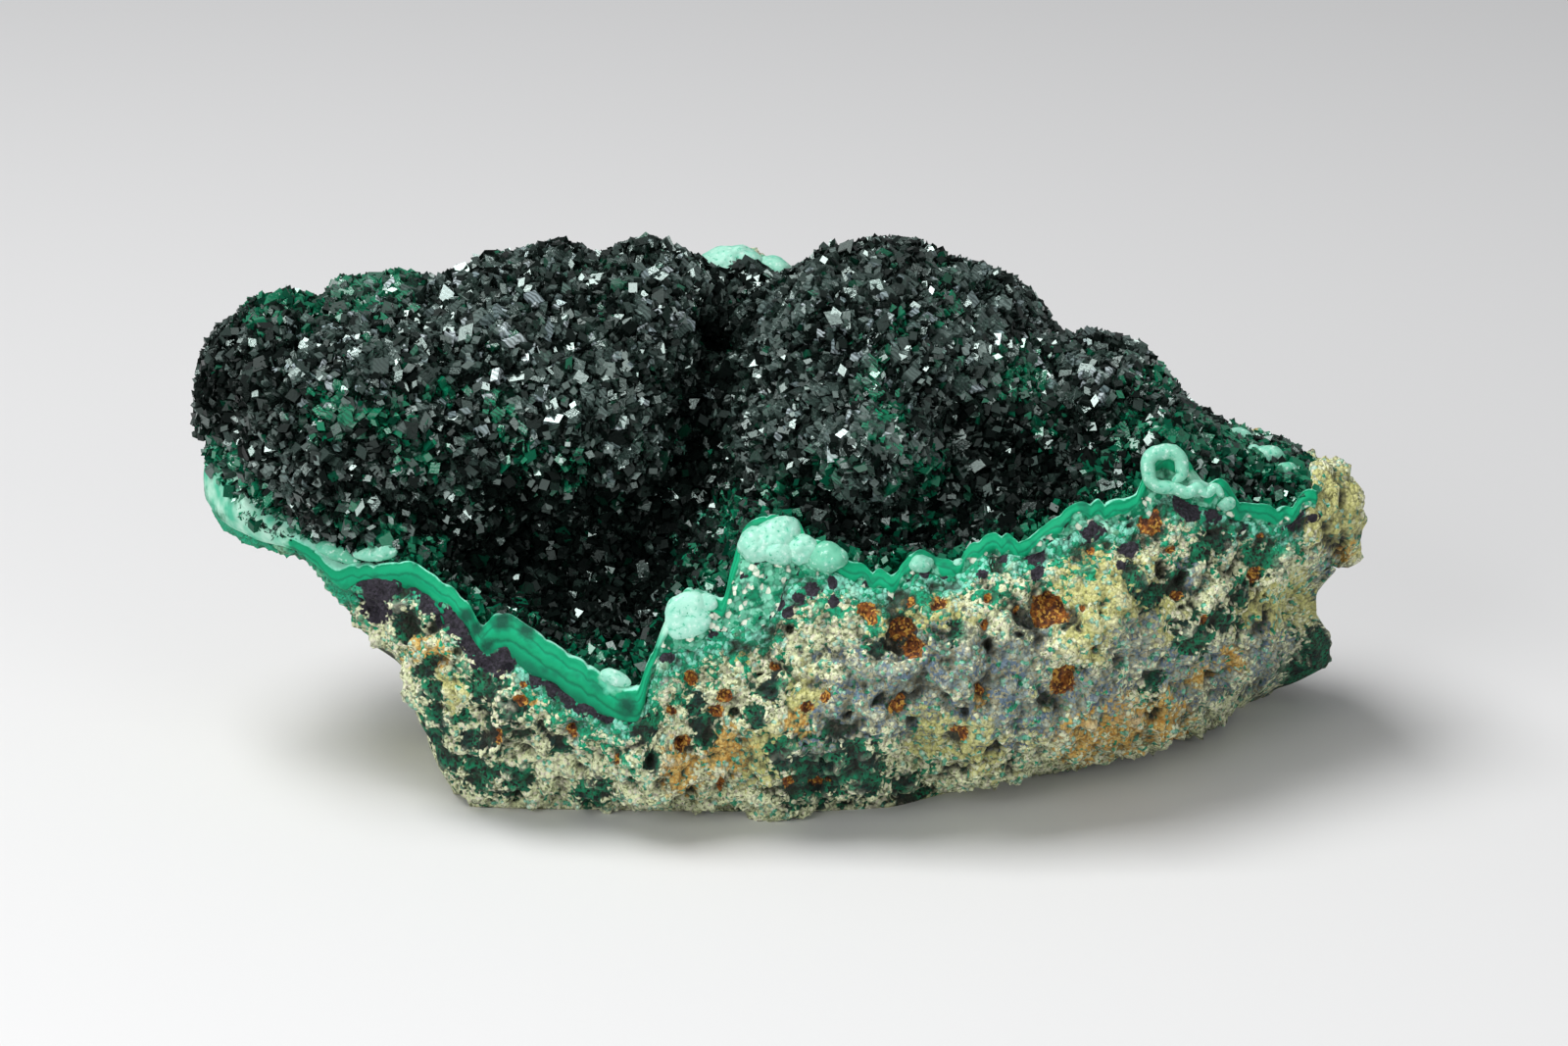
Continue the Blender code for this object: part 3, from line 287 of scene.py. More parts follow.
OXIDE = [
    (-41.7, -6.6, 1.7), (-41.4, -8.6, 1.2), (-42.9, -5.8, 0.8), (-40.2, -7.0, 1.0),
    (-39.0, -5.8, 0.8), (-37.5, -6.6, 0.9), (-36.0, -8.1, 1.0), (-34.5, -9.6, 1.0),
    (-33.2, -11.0, 1.0), (-32.2, -12.4, 1.0), (-31.0, -13.8, 1.0), (-29.5, -14.2, 1.2),
    (-28.2, -13.4, 1.3), (-25.3, -15.8, 0.8), (-23.5, -16.9, 0.8), (-22.0, -17.7, 0.9),
    (-20.0, -18.7, 0.9), (-18.2, -19.5, 0.7), (-16.0, -20.2, 0.6), (-11.8, -13.4, 0.6),
    (-7.2, -11.2, 0.6), (2.8, -6.8, 0.8), (1.6, -7.7, 0.6), (5.0, -6.2, 0.5), (5.2, -7.9, 0.6),
    (14.3, -4.6, 0.7), (16.1, -5.4, 0.4), (20.1, -5.0, 0.6), (22.1, -3.8, 0.5), (25.6, -3.4, 0.8),
    (25.9, -5.2, 0.6), (31.5, -0.6, 1.1), (35.2, -2.8, 0.8), (34.4, -4.4, 0.6), (41.3, 1.3, 1.0),
    (43.7, 1.1, 0.9), (40.3, 2.2, 0.5), (52.0, 1.0, 1.0), (51.7, -0.2, 0.7), (51.6, 4.4, 0.9),
    (53.9, 0.6, 0.5), (-0.5, -8.2, 0.5), (0.6, -9.0, 0.6),
]
DEEP_GREEN = [
    (54.5, -13.5, 2.6), (53.5, -16.5, 2.6), (55.4, -11.5, 1.4), (51.5, -18.5, 1.6),
    (-38.5, -10.2, 1.8), (-39.6, -8.9, 1.2), (-36.4, -15.0, 1.0), (-36.2, -17.0, 1.2),
    (-35.8, -19.5, 1.3), (-35.4, -22.0, 1.3), (-34.6, -24.4, 1.2), (-30.6, -17.0, 1.6),
    (-28.4, -19.4, 1.7), (-33.2, -19.6, 1.0), (-31.6, -22.6, 1.2), (-31.0, -25.6, 2.0),
    (-27.6, -26.0, 1.6), (-23.4, -22.6, 1.2), (-14.0, -21.0, 1.4), (-13.5, -24.5, 1.2),
    (-9.0, -18.4, 1.1), (-8.2, -21.2, 1.3), (-3.2, -19.8, 1.2), (-1.0, -16.6, 1.4),
    (3.5, -25.5, 3.2), (8.0, -25.5, 2.6), (0.0, -23.5, 1.6), (12.8, -27.0, 1.5),
    (-19.0, -27.5, 1.6), (9.5, -12.5, 0.7), (17.8, -11.0, 1.0), (18.0, -8.9, 0.6),
    (37.0, -7.4, 1.6), (39.0, -6.2, 1.0), (41.5, -11.5, 1.8), (44.5, -10.2, 1.3), (46.5, -7.4, 1.2),
    (49.2, -4.0, 1.3), (44.0, -2.0, 1.2), (51.5, -15.0, 1.4), (37.5, -16.5, 1.0), (42.0, -3.5, 1.2),
    (36.0, -5.5, 1.0),
]
GREY = [
    (10.0, -17.0, 5.0), (17.0, -15.0, 4.5), (23.0, -14.5, 4.0), (23.0, -18.5, 3.5),
    (31.0, -17.0, 3.0), (36.0, -12.5, 3.0), (40.0, -15.5, 3.4), (44.5, -14.5, 3.0),
    (50.0, -14.0, 3.2), (33.0, -19.0, 2.6), (28.0, -20.5, 2.4), (5.0, -20.5, 2.4),
    (3.0, -23.0, 3.0), (41.0, -4.8, 1.6), (-30.5, -15.5, 1.2), (-13.0, -15.5, 2.0),
    (56.0, -5.0, 2.0), (55.5, -14.5, 4.0), (-21.0, -20.0, 1.5), (18.5, -12.5, 2.0),
]
OCHRE = [
    (30.5, -22.0, 2.4), (34.5, -20.9, 2.6), (38.5, -19.6, 2.4), (57.4, -3.4, 1.0),
    (-6.0, -23.0, 2.2), (-10.5, -25.0, 2.2), (1.0, -21.0, 1.6), (-26.0, -17.6, 1.2),
    (42.5, -15.4, 1.2), (46.0, -13.8, 1.2), (20.0, -17.4, 0.9), (-35.3, -13.6, 1.6),
    (-37.4, -12.2, 1.4),
]
YELLOW = [
    (31.0, -5.5, 4.0), (35.0, -7.5, 4.6), (31.5, -11.0, 3.6), (38.0, -11.0, 1.6),
    (27.0, -19.5, 3.0), (56.0, 2.0, 4.2), (57.0, -1.0, 3.0), (2.5, -18.5, 3.0), (-2.5, -23.0, 3.0),
    (-34.0, -17.0, 1.6), (15.0, -20.5, 3.0), (11.0, -9.0, 3.0), (16.0, -9.5, 3.0),
    (-4.5, -12.5, 1.6), (20.0, -22.0, 3.0), (49.0, -9.0, 3.0), (53.0, -8.0, 2.6),
]

# Spots on the crust and the band as seen: across, up, radius
GREEN_DRUSE = [
    (46.5, 7.6, 2.2), (49.5, 5.6, 2.4), (52.0, 4.0, 1.8), (-53.0, 22.5, 2.0), (-50.0, 22.8, 2.0),
    (-47.0, 22.2, 2.0), (-43.5, 23.6, 2.2), (-40.0, 24.5, 2.0), (-46.0, 12.0, 2.2),
    (-40.5, 11.0, 1.6), (-35.0, 13.5, 1.0), (-28.5, 12.0, 1.4), (-26.0, 7.0, 1.6),
    (-37.0, 7.0, 1.8), (-21.5, 5.0, 1.5), (12.0, 20.0, 1.0), (16.5, 22.0, 1.0), (9.0, 15.0, 1.2),
    (24.5, 14.5, 2.0), (27.0, 9.5, 1.4), (38.0, 14.5, 1.4), (36.0, 9.0, 2.4), (41.5, 8.8, 2.2),
    (33.0, 5.5, 2.0), (44.5, 7.5, 2.0), (14.0, 5.5, 1.5), (4.0, 6.0, 1.2), (-5.0, 1.2, 1.6),
    (-0.5, 3.0, 1.6), (2.5, 3.0, 1.4), (10.5, 10.0, 1.4), (-41.0, -1.5, 1.6), (-37.0, -2.2, 1.8),
    (-44.0, 1.0, 1.5), (-9.5, -4.0, 1.4), (-5.5, -1.6, 1.2), (12.0, -1.2, 1.6), (15.5, -1.0, 1.4),
]
# Painted shade on the crust: spots in its hollows, valleys and slots where the crystals are darkened,
# made less green and dulled
DRUSE_PAINTED_SHADE = [
    (-27.0, -2.0, 4.5), (-21.0, -4.5, 5.0), (-15.5, -8.0, 4.5), (-22.5, -9.0, 3.5),
    (-14.0, -2.0, 4.5), (-11.5, -5.0, 3.0), (-31.5, -3.0, 3.0), (-6.6, 19.7, 1.8),
    (-7.3, 16.0, 2.0), (-8.0, 12.0, 2.0), (-9.2, 8.0, 2.4), (-9.0, 3.5, 2.6), (17.6, 10.7, 1.6),
    (23.0, 6.5, 4.0), (27.5, 5.0, 4.0), (30.5, 7.5, 2.4), (11.0, -1.6, 1.5), (15.0, -1.6, 1.5),
    (19.0, -0.6, 1.5), (23.0, 0.8, 1.5), (26.5, 1.8, 1.4), (-37.0, 0.0, 2.0), (-18.0, 2.0, 4.0),
    (-58.0, 14.0, 3.0), (2.5, 1.5, 2.0), (5.0, -0.5, 1.6),
]
LIGHT_DRUSE = [
    (-40.0, 20.0, 5.0), (-33.0, 21.0, 4.5), (-26.0, 22.0, 4.5), (-20.0, 17.0, 5.0),
    (-14.0, 22.0, 4.0), (-46.0, 15.0, 4.0), (-30.0, 14.0, 4.0), (4.0, 20.0, 4.0), (10.0, 17.0, 5.0),
    (18.0, 20.0, 4.5), (25.0, 17.0, 3.5), (9.0, 9.0, 4.0), (33.0, 15.0, 3.0), (-16.0, 10.0, 3.5),
    (1.0, 12.0, 3.0),
]
BARE_OF_CRYSTALS = [(-1.3, -1.8, 1.6), (-2.8, -2.2, 1.4), (38.9, 5.5, 1.8)]
PALE_BAND = [
    (-57.8, 6.0, 3.0), (-56.4, 3.2, 2.8), (-55.0, 0.0, 2.4), (-52.5, -1.4, 2.0),
    (-17.4, -15.9, 1.4), (-10.8, -10.4, 2.0), (-9.2, -8.6, 1.7), (-12.6, -11.3, 1.3),
    (0.2, -2.6, 1.6), (42.0, 3.9, 1.4), (51.4, 3.4, 1.0),
]
# Painted shade on the band: darker green where it dips into notches and folds
BAND_SHADE = [
    (-32.6, -9.6, 0.9), (-31.4, -10.9, 0.9), (-30.2, -12.4, 0.9), (-28.6, -9.8, 1.2),
    (-26.2, -10.9, 1.0), (-16.0, -18.6, 1.2), (-8.6, -7.4, 0.8), (5.0, -3.8, 1.2),
]

# Smooth knobs as seen: across, up, radii (width, height, depth), turn in degrees, bubble size, tint
# from 0 for malachite green to 1 for pale mint
KNOBS_ON_RIM = [
    (-41.6, -2.9, (2.3, 0.8, 0.6), 8, 2.0, 0.6), (-45.6, -3.0, (2.4, 0.9, 0.6), -14, 2.0, 0.25),
    (-0.9, -1.2, (2.6, 1.9, 1.5), 25, 2.2, 0.92), (-2.9, -2.0, (1.9, 1.8, 1.3), 20, 1.8, 0.88),
    (-0.6, -2.6, (1.9, 1.3, 1.3), 0, 1.7, 0.9),
    (1.9, -2.9, (1.6, 1.5, 1.2), 40, 1.5, 0.85), (4.6, -3.6, (2.0, 1.5, 1.0), 0, 1.6, 0.35),
    (14.0, -4.2, (1.2, 0.9, 0.8), 0, 1.2, 0.6), (17.9, -4.1, (0.7, 0.5, 0.5), 0, 1.0, 0.75),
    (-17.3, -15.8, (1.6, 0.8, 0.9), -18, 1.2, 0.85), (42.3, 3.5, (1.7, 0.8, 0.9), -16, 1.2, 0.85),
    (-10.0, -9.6, (2.4, 2.2, 0.7), 38, 2.6, 0.95), (-8.4, -8.6, (1.6, 1.2, 0.6), 20, 2.0, 0.95),
    (45.0, 2.0, (0.9, 0.6, 0.6), 0, 1.0, 0.6),
]
KNOBS_ON_SKYLINE = [
    (46.6, 8.3, (1.9, 1.1, 1.7), -30, 1.4, 0.8), (49.4, 6.6, (1.7, 1.1, 1.6), -30, 1.4, 0.6),
    (51.4, 5.2, (1.3, 0.9, 1.3), 0, 1.2, 0.3),
    (46.6, 8.4, (1.1, 0.9, 1.0), 0, 1.0, 0.9), (48.4, 8.2, (1.2, 0.8, 1.0), 0, 1.0, 0.6),
    (47.8, 6.9, (1.2, 1.2, 1.0), 0, 1.1, 0.95), (50.4, 7.3, (1.0, 0.6, 0.8), 0, 1.0, 0.5),
]

# The turquoise cap behind the crest: centre, radii and tint of its two knobs
TURQUOISE_CAP = [
    ((-5.4, 16.4, 47.6), (3.8, 2.8, 2.4), 0.95), ((-1.6, 16.6, 46.9), (2.6, 2.4, 2.1), 0.8),
]
CAP_OUTWARD = np.array([0.0, -0.5, 0.85])
CAP_BUBBLES = 1.4

# The curl beside the right lobe: its circles and the points round each, tint, centre as seen, and
# then across, along and tube radius from that centre, millimetres
CURL_STEPS, CURL_AROUND = 90, 20
CURL_TINT = 0.55
CURL_CENTRE = (38.9, 5.5, -13.2)
CURL_PATH = [
    (0.9, -1.3, 0.35), (1.7, -0.4, 0.6), (1.6, 0.9, 0.72), (0.5, 1.75, 0.75), (-0.9, 1.6, 0.78),
    (-1.75, 0.5, 0.75), (-1.6, -0.9, 0.7), (-0.6, -1.75, 0.66), (0.8, -1.9, 0.66),
    (2.2, -2.3, 0.62),
    (3.2, -1.7, 0.55), (4.1, -2.4, 0.5), (5.0, -1.8, 0.45), (5.6, -2.6, 0.3),
]

# Lights: place, aim and size in metres, and power in watts; strength of the grey light around them
LIGHTS = [
    ("overhead", (-0.28, -0.06, 0.74), (0.0, 0.0, 0.0), (0.50, 0.42), 5.8),
    ("front_left", (-0.55, -0.80, 0.45), (0.0, 0.0, 0.03), (0.50, 0.50), 4.6),
    ("front_right", (0.60, -0.75, 0.35), (0.0, 0.0, 0.03), (0.40, 0.40), 1.7),
]
WORLD_STRENGTH = 0.48
FLOOR_REACH = 4.0


def placed(points):
    """World X, Y, Z of points given as seen: the sight line through (across, up) cut at the depth."""
    across, up, depth = np.asarray(points, float).T
    cosine = math.cos(SIGHT_TILT)
    sine = math.sin(SIGHT_TILT)
    lift = up * (SIGHT_DISTANCE + depth * cosine) - SIGHT_DISTANCE * depth * sine
    lift = lift / (SIGHT_DISTANCE * cosine + up * sine)
    away = SIGHT_DISTANCE + depth * cosine - lift * sine
    return np.stack([across * away / SIGHT_DISTANCE, depth, lift + SIGHT_HEIGHT], axis=1)


def seen(points):
    """Across and up of world points, as they are seen from the front: a perspective division."""
    depth = points[..., 1]
    lift = points[..., 2] - SIGHT_HEIGHT
    cosine = math.cos(SIGHT_TILT)
    sine = math.sin(SIGHT_TILT)
    scale = SIGHT_DISTANCE / (SIGHT_DISTANCE + depth * cosine - lift * sine)
    return points[..., 0] * scale, (depth * sine + lift * cosine) * scale


def smooth_through(knots, values, at):
    """Cubic through the knots whose slopes are harmonic means of the chords, so it never overshoots."""
    step = np.diff(knots)
    chord = np.diff(values, axis=0) / step[:, None]
    product = chord[1:] * chord[:-1]
    total = chord[1:] + chord[:-1]
    slope = np.zeros_like(values)
    slope[1:-1] = np.where(product > 0, 2 * product / np.where(product > 0, total, 1), 0)
    slope[0] = chord[0]
    slope[-1] = chord[-1]
    k = np.clip(np.searchsorted(knots, at, side="right") - 1, 0, len(knots) - 2)
    h = step[k][:, None]
    t = (np.asarray(at)[:, None] - knots[k][:, None]) / h
    rise = t * t * (3 - 2 * t)
    leave = t * (1 - t) ** 2 * h * slope[k]
    arrive = t * t * (1 - t) * h * slope[k + 1]
    return values[k] * (1 - rise) + values[k + 1] * rise + leave - arrive


def along(points, stations):
    """A guide's points at the stations, its two ends drawn out to the two ends of the stone."""
    across = points[:, 0]
    left = LEFT_HOLD + (across - LEFT_HOLD) * (LEFT_END - LEFT_HOLD) / (across[0] - LEFT_HOLD)
    right = RIGHT_HOLD + (across - RIGHT_HOLD) * (RIGHT_END - RIGHT_HOLD) / (across[-1] - RIGHT_HOLD)
    knots = np.where(across < LEFT_HOLD, left, np.where(across > RIGHT_HOLD, right, across))
    return smooth_through(knots, points, stations)


def outline_points(stations, turns):
    """Points of the closed outlines at every station and turn: a cubic from each guide to the next,
    whose slope at a guide weighs the two chords beside it by each other's length. The turns are one
    row for all the stations, or a row for each."""
    front = [RIM, HOLLOW, UNDERCUT, FACE, BROW, CREST]
    back = [BACK_TOP, BACK, BACK_FOOT, FRONT_FOOT]
    lower = [LOWER_EDGE, BELLY, BAND_FOOT]
    guides = [placed(g) for g in front] + [np.array(g) for g in back] + [placed(g) for g in lower]
    net = np.stack([along(g, stations) for g in guides])
    ahead = np.roll(net, -1, axis=0) - net
    length = np.linalg.norm(ahead, axis=2, keepdims=True)
    behind = np.roll(ahead, 1, axis=0)
    behind_length = np.roll(length, 1, axis=0)
    slope = ahead / length * behind_length + behind / behind_length * length
    slope = slope / (length + behind_length)
    turns = np.broadcast_to(turns, (len(stations), np.shape(turns)[-1]))
    low = np.floor(turns).astype(int)
    t = (turns - low)[..., None]
    row = np.arange(len(stations))[:, None]
    start = low % TURN_END
    end = (start + 1) % TURN_END
    rise = t * t * (3 - 2 * t)
    leave = length[start, row] * slope[start, row]
    arrive = length[start, row] * slope[end, row]
    bend = t * (1 - t) ** 2 * leave - t * t * (1 - t) * arrive
    return net[start, row] * (1 - rise) + net[end, row] * rise + bend


def facing(points):
    """Outward unit direction at each point of a grid: the cross product of its two run directions."""
    square = np.cross(np.gradient(points, axis=0), np.gradient(points, axis=1))
    return square / np.maximum(np.linalg.norm(square, axis=-1, keepdims=True), 1e-9)


def ease(low, high, value):
    """0 below low, 1 above high, and a smooth cubic step between them."""
    t = np.clip((value - low) / (high - low), 0, 1)
    return t * t * (3 - 2 * t)


def noise(points, size):
    """Smooth value noise from 0 to 1: hashed corner values of a cubic lattice, eased between them."""
    cell = np.floor(points / size)
    t = points / size - cell
    t = t * t * (3 - 2 * t)
    total = np.zeros(points.shape[:-1])
    for corner in np.ndindex(2, 2, 2):
        place = cell + np.array(corner)
        mixed = place @ np.array([127.1, 311.7, 74.7])
        value = np.mod(np.sin(mixed) * 43758.5453, 1.0)
        weight = np.prod(np.where(np.array(corner) == 1, t, 1 - t), axis=-1)
        total += value * weight
    return total


def rough(points, size, octaves):
    """Noise from -1 to 1, each octave half as wide and 0.55 as high as the one before."""
    total = np.zeros(points.shape[:-1])
    height = 1.0
    reach = 0.0
    for octave in range(octaves):
        total += height * (noise(points + 31.7 * octave, size / 2 ** octave) * 2 - 1)
        reach += height
        height *= 0.55
    return total / reach


def cells(points, size):
    """Distance to the nearest jittered point of a cubic lattice, as a share of its spacing, and a
    random number from 0 to 1 that belongs to that point."""
    base = np.floor(points / size)
    best = np.full(points.shape[:-1], 9.0)
    own = np.zeros(points.shape[:-1])
    for corner in np.ndindex(3, 3, 3):
        place = base + np.array(corner) - 1
        mixed = np.stack([place @ np.array(k) for k in ([127.1, 311.7, 74.7], [269.5, 183.3, 246.1],
                                                        [113.5, 271.9, 124.6])], axis=-1)
        jitter = np.mod(np.sin(mixed) * 43758.5453, 1.0)
        gap = np.linalg.norm(place + jitter - points / size, axis=-1)
        own = np.where(gap < best, jitter[..., 0], own)
        best = np.minimum(best, gap)
    return best, own


def swelling(points, relief):
    """Height of the listed swellings at the points: a bell curve of the distance as seen."""
    across, up = seen(points)
    height = np.zeros(points.shape[:-1])
    for centre_across, centre_up, radius, rise in relief:
        square = (across - centre_across) ** 2 + (up - centre_up) ** 2
        height += rise * np.exp(-square / radius ** 2)
    return height


def drawn_in(points):
    """The points with the right end drawn in to RIGHT_REACH: an even squeeze from RIGHT_HOLD on."""
    across, up = seen(points)
    table = np.array(RIGHT_REACH)
    reach = np.interp(up, table[:, 0], table[:, 1]) * points[..., 0] / np.where(across == 0, 1, across)
    share = np.minimum((reach - RIGHT_HOLD) / (RIGHT_END - RIGHT_HOLD), 1.0)
    made = points.copy()
    past = points[..., 0] > RIGHT_HOLD
    made[..., 0] = np.where(past, RIGHT_HOLD + (points[..., 0] - RIGHT_HOLD) * share, points[..., 0])
    return made


def patch(points, spots, ragged=1.0):
    """Share of the listed round spots at the points: the strongest bell curve of those that reach,
    with its outline made ragged by noise of that many millimetres."""
    across, up = seen(points)
    across = across + ragged * rough(points + 3.1, 2.2, 3)
    up = up + ragged * rough(points + 57.3, 2.2, 3)
    share = np.zeros(points.shape[:-1])
    for centre_across, centre_up, radius in spots:
        square = (across - centre_across) ** 2 + (up - centre_up) ** 2
        share = np.maximum(share, np.exp(-0.7 * square / radius ** 2))
    return share


def mesh_piece(name, points, faces, material, slot, nodes, weights=None, smooth=True):
    """A mesh piece from points in the guides' millimetres, with named weights on its points."""
    mesh = bpy.data.meshes.new(name)
    places = ((points - BOX_MIDDLE) * MM).astype(np.float32)
    mesh.vertices.add(len(places))
    mesh.vertices.foreach_set("co", places.ravel())
    sides = np.concatenate([np.full(len(group), group.shape[1]) for group in faces])
    corners = np.concatenate([group.ravel() for group in faces])
    mesh.loops.add(len(corners))
    mesh.loops.foreach_set("vertex_index", corners.astype(np.int32))
    mesh.polygons.add(len(sides))
    starts = np.concatenate([[0], np.cumsum(sides)[:-1]]).astype(np.int32)
    mesh.polygons.foreach_set("loop_start", starts)
    mesh.update(calc_edges=True)
    mesh.polygons.foreach_set("use_smooth", np.full(len(sides), smooth))
    for key, values in (weights or {}).items():
        layer = mesh.attributes.new(key, "FLOAT", "POINT")
        layer.data.foreach_set("value", np.asarray(values, np.float32).ravel())
    mesh.materials.append(material)
    made = bpy.data.objects.new(name, mesh)
    bpy.context.scene.collection.objects.link(made)
    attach(made, "root")
    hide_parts(*nodes)
    return made


def around_faces(count, around):
    """Quads of a grid of closed rings, each point joined to the next ring's and to its neighbour's."""
    i = np.arange(count - 1)[:, None] * around
    j = np.arange(around)[None]
    k = (j + 1) % around
    return np.stack([i + j, i + around + j, i + around + k, i + k], axis=-1).reshape(-1, 4)


def shell_ends(count, around):
    """Quads that close both ends of a shell whose rings run out along a face and back beneath it."""
    j = np.arange(around // 2 - 1)
    m = around - 1 - j
    left = np.stack([j, j + 1, m - 1, m], axis=-1)
    right = np.stack([j + 1, j, m, m - 1], axis=-1) + (count - 1) * around
    return np.concatenate([left, right])


def end_fans(count, around):
    """Triangles that close both ends of a tube of rings, each round a point listed after the rings."""
    j = np.arange(around)
    k = (j + 1) % around
    last = (count - 1) * around
    left = np.stack([np.full(around, count * around), j, k], axis=-1)
    right = np.stack([np.full(around, count * around + 1), last + k, last + j], axis=-1)
    return np.concatenate([left, right])


def domed(rings, shares, left_bulge, right_bulge):
    """The rings with smaller and smaller ones added beyond both ends, so that each end is a dome."""
    shares = np.asarray(shares)[:, None, None]
    made = []
    for ring, rise in ((rings[0], -left_bulge), (rings[-1], right_bulge)):
        centre = ring.mean(axis=0)
        small = centre + (ring - centre) * shares
        small[..., 0] = ring[:, 0] + rise * np.sqrt(1 - shares[..., 0] ** 2)
        made.append(small)
    return np.concatenate([made[0][::-1], rings, made[1]])


def solid_piece(name, rings, weights, *words):
    """A closed solid over the rings, each end drawn to one point."""
    count, around = rings.shape[:2]
    points = np.concatenate([rings.reshape(-1, 3), rings[:1].mean(axis=1), rings[-1:].mean(axis=1)])
    values = {key: np.append(w.ravel(), [w[0].mean(), w[-1].mean()]) for key, w in weights.items()}
    faces = [around_faces(count, around), end_fans(count, around)]
    return mesh_piece(name, points, faces, *words, weights=values)


def shell_piece(name, face, under, weights, *words):
    """A closed shell of a face and the surface beneath it; the underside takes the face's weights."""
    rings = np.concatenate([face, under[:, ::-1]], axis=1)
    count, around = rings.shape[:2]
    values = {key: np.concatenate([w, w[:, ::-1]], axis=1) for key, w in weights.items()}
    faces = [around_faces(count, around), shell_ends(count, around)]
    return mesh_piece(name, rings.reshape(-1, 3), faces, *words, weights=values)


def spread(samples, first_turn):
    """Turns with the given number of steps from each guide to the next."""
    turns = [first_turn + k + np.arange(n) / n for k, n in enumerate(samples)]
    return np.concatenate(turns + [[first_turn + len(samples)]])


def stations(step, end):
    """Evenly spaced cross-section places from the left end."""
    return np.linspace(LEFT_END, end, int((end - LEFT_END) / step) + 1)


def rock_relief(points):
    """Height of the rock's blocks, lumps, grains and crumbs over its broad form, less its vugs: cells
    of four sizes, their places bent by noise, and a fifth set of cells of which some are sunk."""
    bent = points + np.stack([0.9 * rough(points + 17.0 * k, 2.2, 3) for k in range(3)], axis=-1)
    block, _ = cells(bent + 3.0, 4.6)
    lump, _ = cells(bent, 2.3)
    grains, _ = cells(bent + 5.0, 1.1)
    crumb, _ = cells(points + 7.0, 0.55)
    vug, number = cells(bent + 11.0, 2.8)
    height = 1.1 * (0.5 - block) + 1.4 * (0.5 - lump) + 0.9 * (0.5 - grains) + 0.5 * (0.5 - crumb)
    height += 0.9 * rough(points, 1.5, 4)
    return height - 1.4 * (1 - ease(0.4, 1.0, vug / (0.12 + 0.9 * number))) * (number < 0.45)


def stained(skin, spots, aside, strength, low, high, size, shift):
    """Weight of a stain: the listed spots on the front, and elsewhere soft patches of noise."""
    listed = (1 - aside) * patch(skin, spots, 1.6)
    return listed + strength * aside * ease(low, high, noise(skin + shift, size))


def rock_piece(material):
    """The matrix rock: broad outlines, closed by domes and raised by rock_relief. Under the layers its
    bed lies BED_DEPTH below them, and below each dip of the crust."""
    own = spread(ROCK_SAMPLES, TURN_BACK_TOP)
    bed = np.linspace(TURN_BAND_FOOT, TURN_BACK_TOP + TURN_END, BED_SAMPLES + 2)[1:-1]
    turns = np.concatenate([own, bed])
    rings = outline_points(stations(ROCK_STEP, ROCK_RIGHT)[ROCK_INSET:], turns)
    front = ease(TURN_FRONT_FOOT, TURN_LOWER_EDGE, turns) * (turns <= TURN_BAND_FOOT)
    on_foot = (turns >= TURN_BACK_FOOT) & (turns <= TURN_FRONT_FOOT)
    near_foot = ease(TURN_BACK_FOOT - 0.3, TURN_BACK_FOOT, turns)
    near_foot *= 1 - ease(TURN_FRONT_FOOT, TURN_FRONT_FOOT + 0.3, turns)
    joint = 1 - ease(0.0, 0.7, np.abs(turns - TURN_BAND_FOOT))
    covered = (turns > TURN_BAND_FOOT) & (rings[..., 0] < LAYERS_END)
    dips = np.minimum(0, swelling(rings, CRUST_RELIEF)) * (turns > TURN_END)
    at_tip = np.clip((rings[..., 0] - LEFT_END) / 6, 0.4, 1)
    broad = ROCK_LUMPS * (noise(rings, 7.0) - 0.5) * 2 + front * swelling(rings, ROCK_RELIEF)
    broad = np.where(covered, dips - BED_DEPTH * at_tip, broad * (1 - joint) * (1 - near_foot))
    skin = domed(rings + facing(rings) * broad[..., None], END_SHARES, 0.2, 0.5)
    more = ((len(END_SHARES), len(END_SHARES)), (0, 0))
    bare = ~np.pad(covered, more, mode="edge")
    calm = np.clip((skin[..., 0] - LEFT_END) / 10, 0.12, 1)
    rust = front * patch(skin, RUST_HOLES, 0.8)
    fine = rock_relief(skin) * calm - 0.9 * rust
    skin = skin + facing(skin) * (fine * bare * (1 - 0.6 * joint) * (1 - near_foot))[..., None]
    skin[..., 2] = np.where(on_foot & (skin[..., 2] < 0.6), 0.0, np.maximum(skin[..., 2], 0.0))
    skin = drawn_in(skin)
    front = np.maximum(front, ease(0.0, 0.35, facing(skin) @ sight_line()))
    aside = 1 - front
    below = band_distance(skin) + 14 * ease(52.3, 53.8, skin[..., 0])
    weights = {
        "rust": rust,
        # The relief also gives the material its painted shade in hollows and vugs and painted light on
        # raised grains
        "relief": np.clip(fine * 0.4 + 0.5, 0, 1),
        "front": front,
        "below": np.clip(below, 0, 30),
        "ribbon": front * (1 - ease(-31.0, -25.0, skin[..., 0])) * (1 - ease(1.2, 2.2, below)),
        "oxide": front * patch(skin, OXIDE, 0.7),
        "deep_green": stained(skin, DEEP_GREEN, aside, 0.5, 0.62, 0.76, 5.0, 120),
        "grey": stained(skin, GREY, aside, 0.6, 0.45, 0.65, 9.0, 20),
        "ochre": stained(skin, OCHRE, aside, 0.5, 0.55, 0.75, 7.0, 40),
        "yellow": stained(skin, YELLOW, aside, 0.6, 0.45, 0.65, 8.0, 80),
    }
    return solid_piece("rock_matrix", skin, weights, material, "granular_matrix", ["matrix_rock"])


def band_distance(points):
    """How far the points lie below the band's foot, as seen, millimetres."""
    across, up = seen(points)
    foot = np.array(BAND_FOOT)
    return np.interp(across, foot[:, 0], foot[:, 1]) - up


def scallops(places):
    """Rise of the rim's small scallops: half waves of a wandering width, meeting in sharp dips."""
    wave = places / SCALLOP_WIDTH + 0.3 * np.sin(places * 0.61) + 0.12 * np.sin(places * 1.37 + 1.0)
    return np.abs(np.sin(np.pi * wave)) ** 0.7 - 0.6


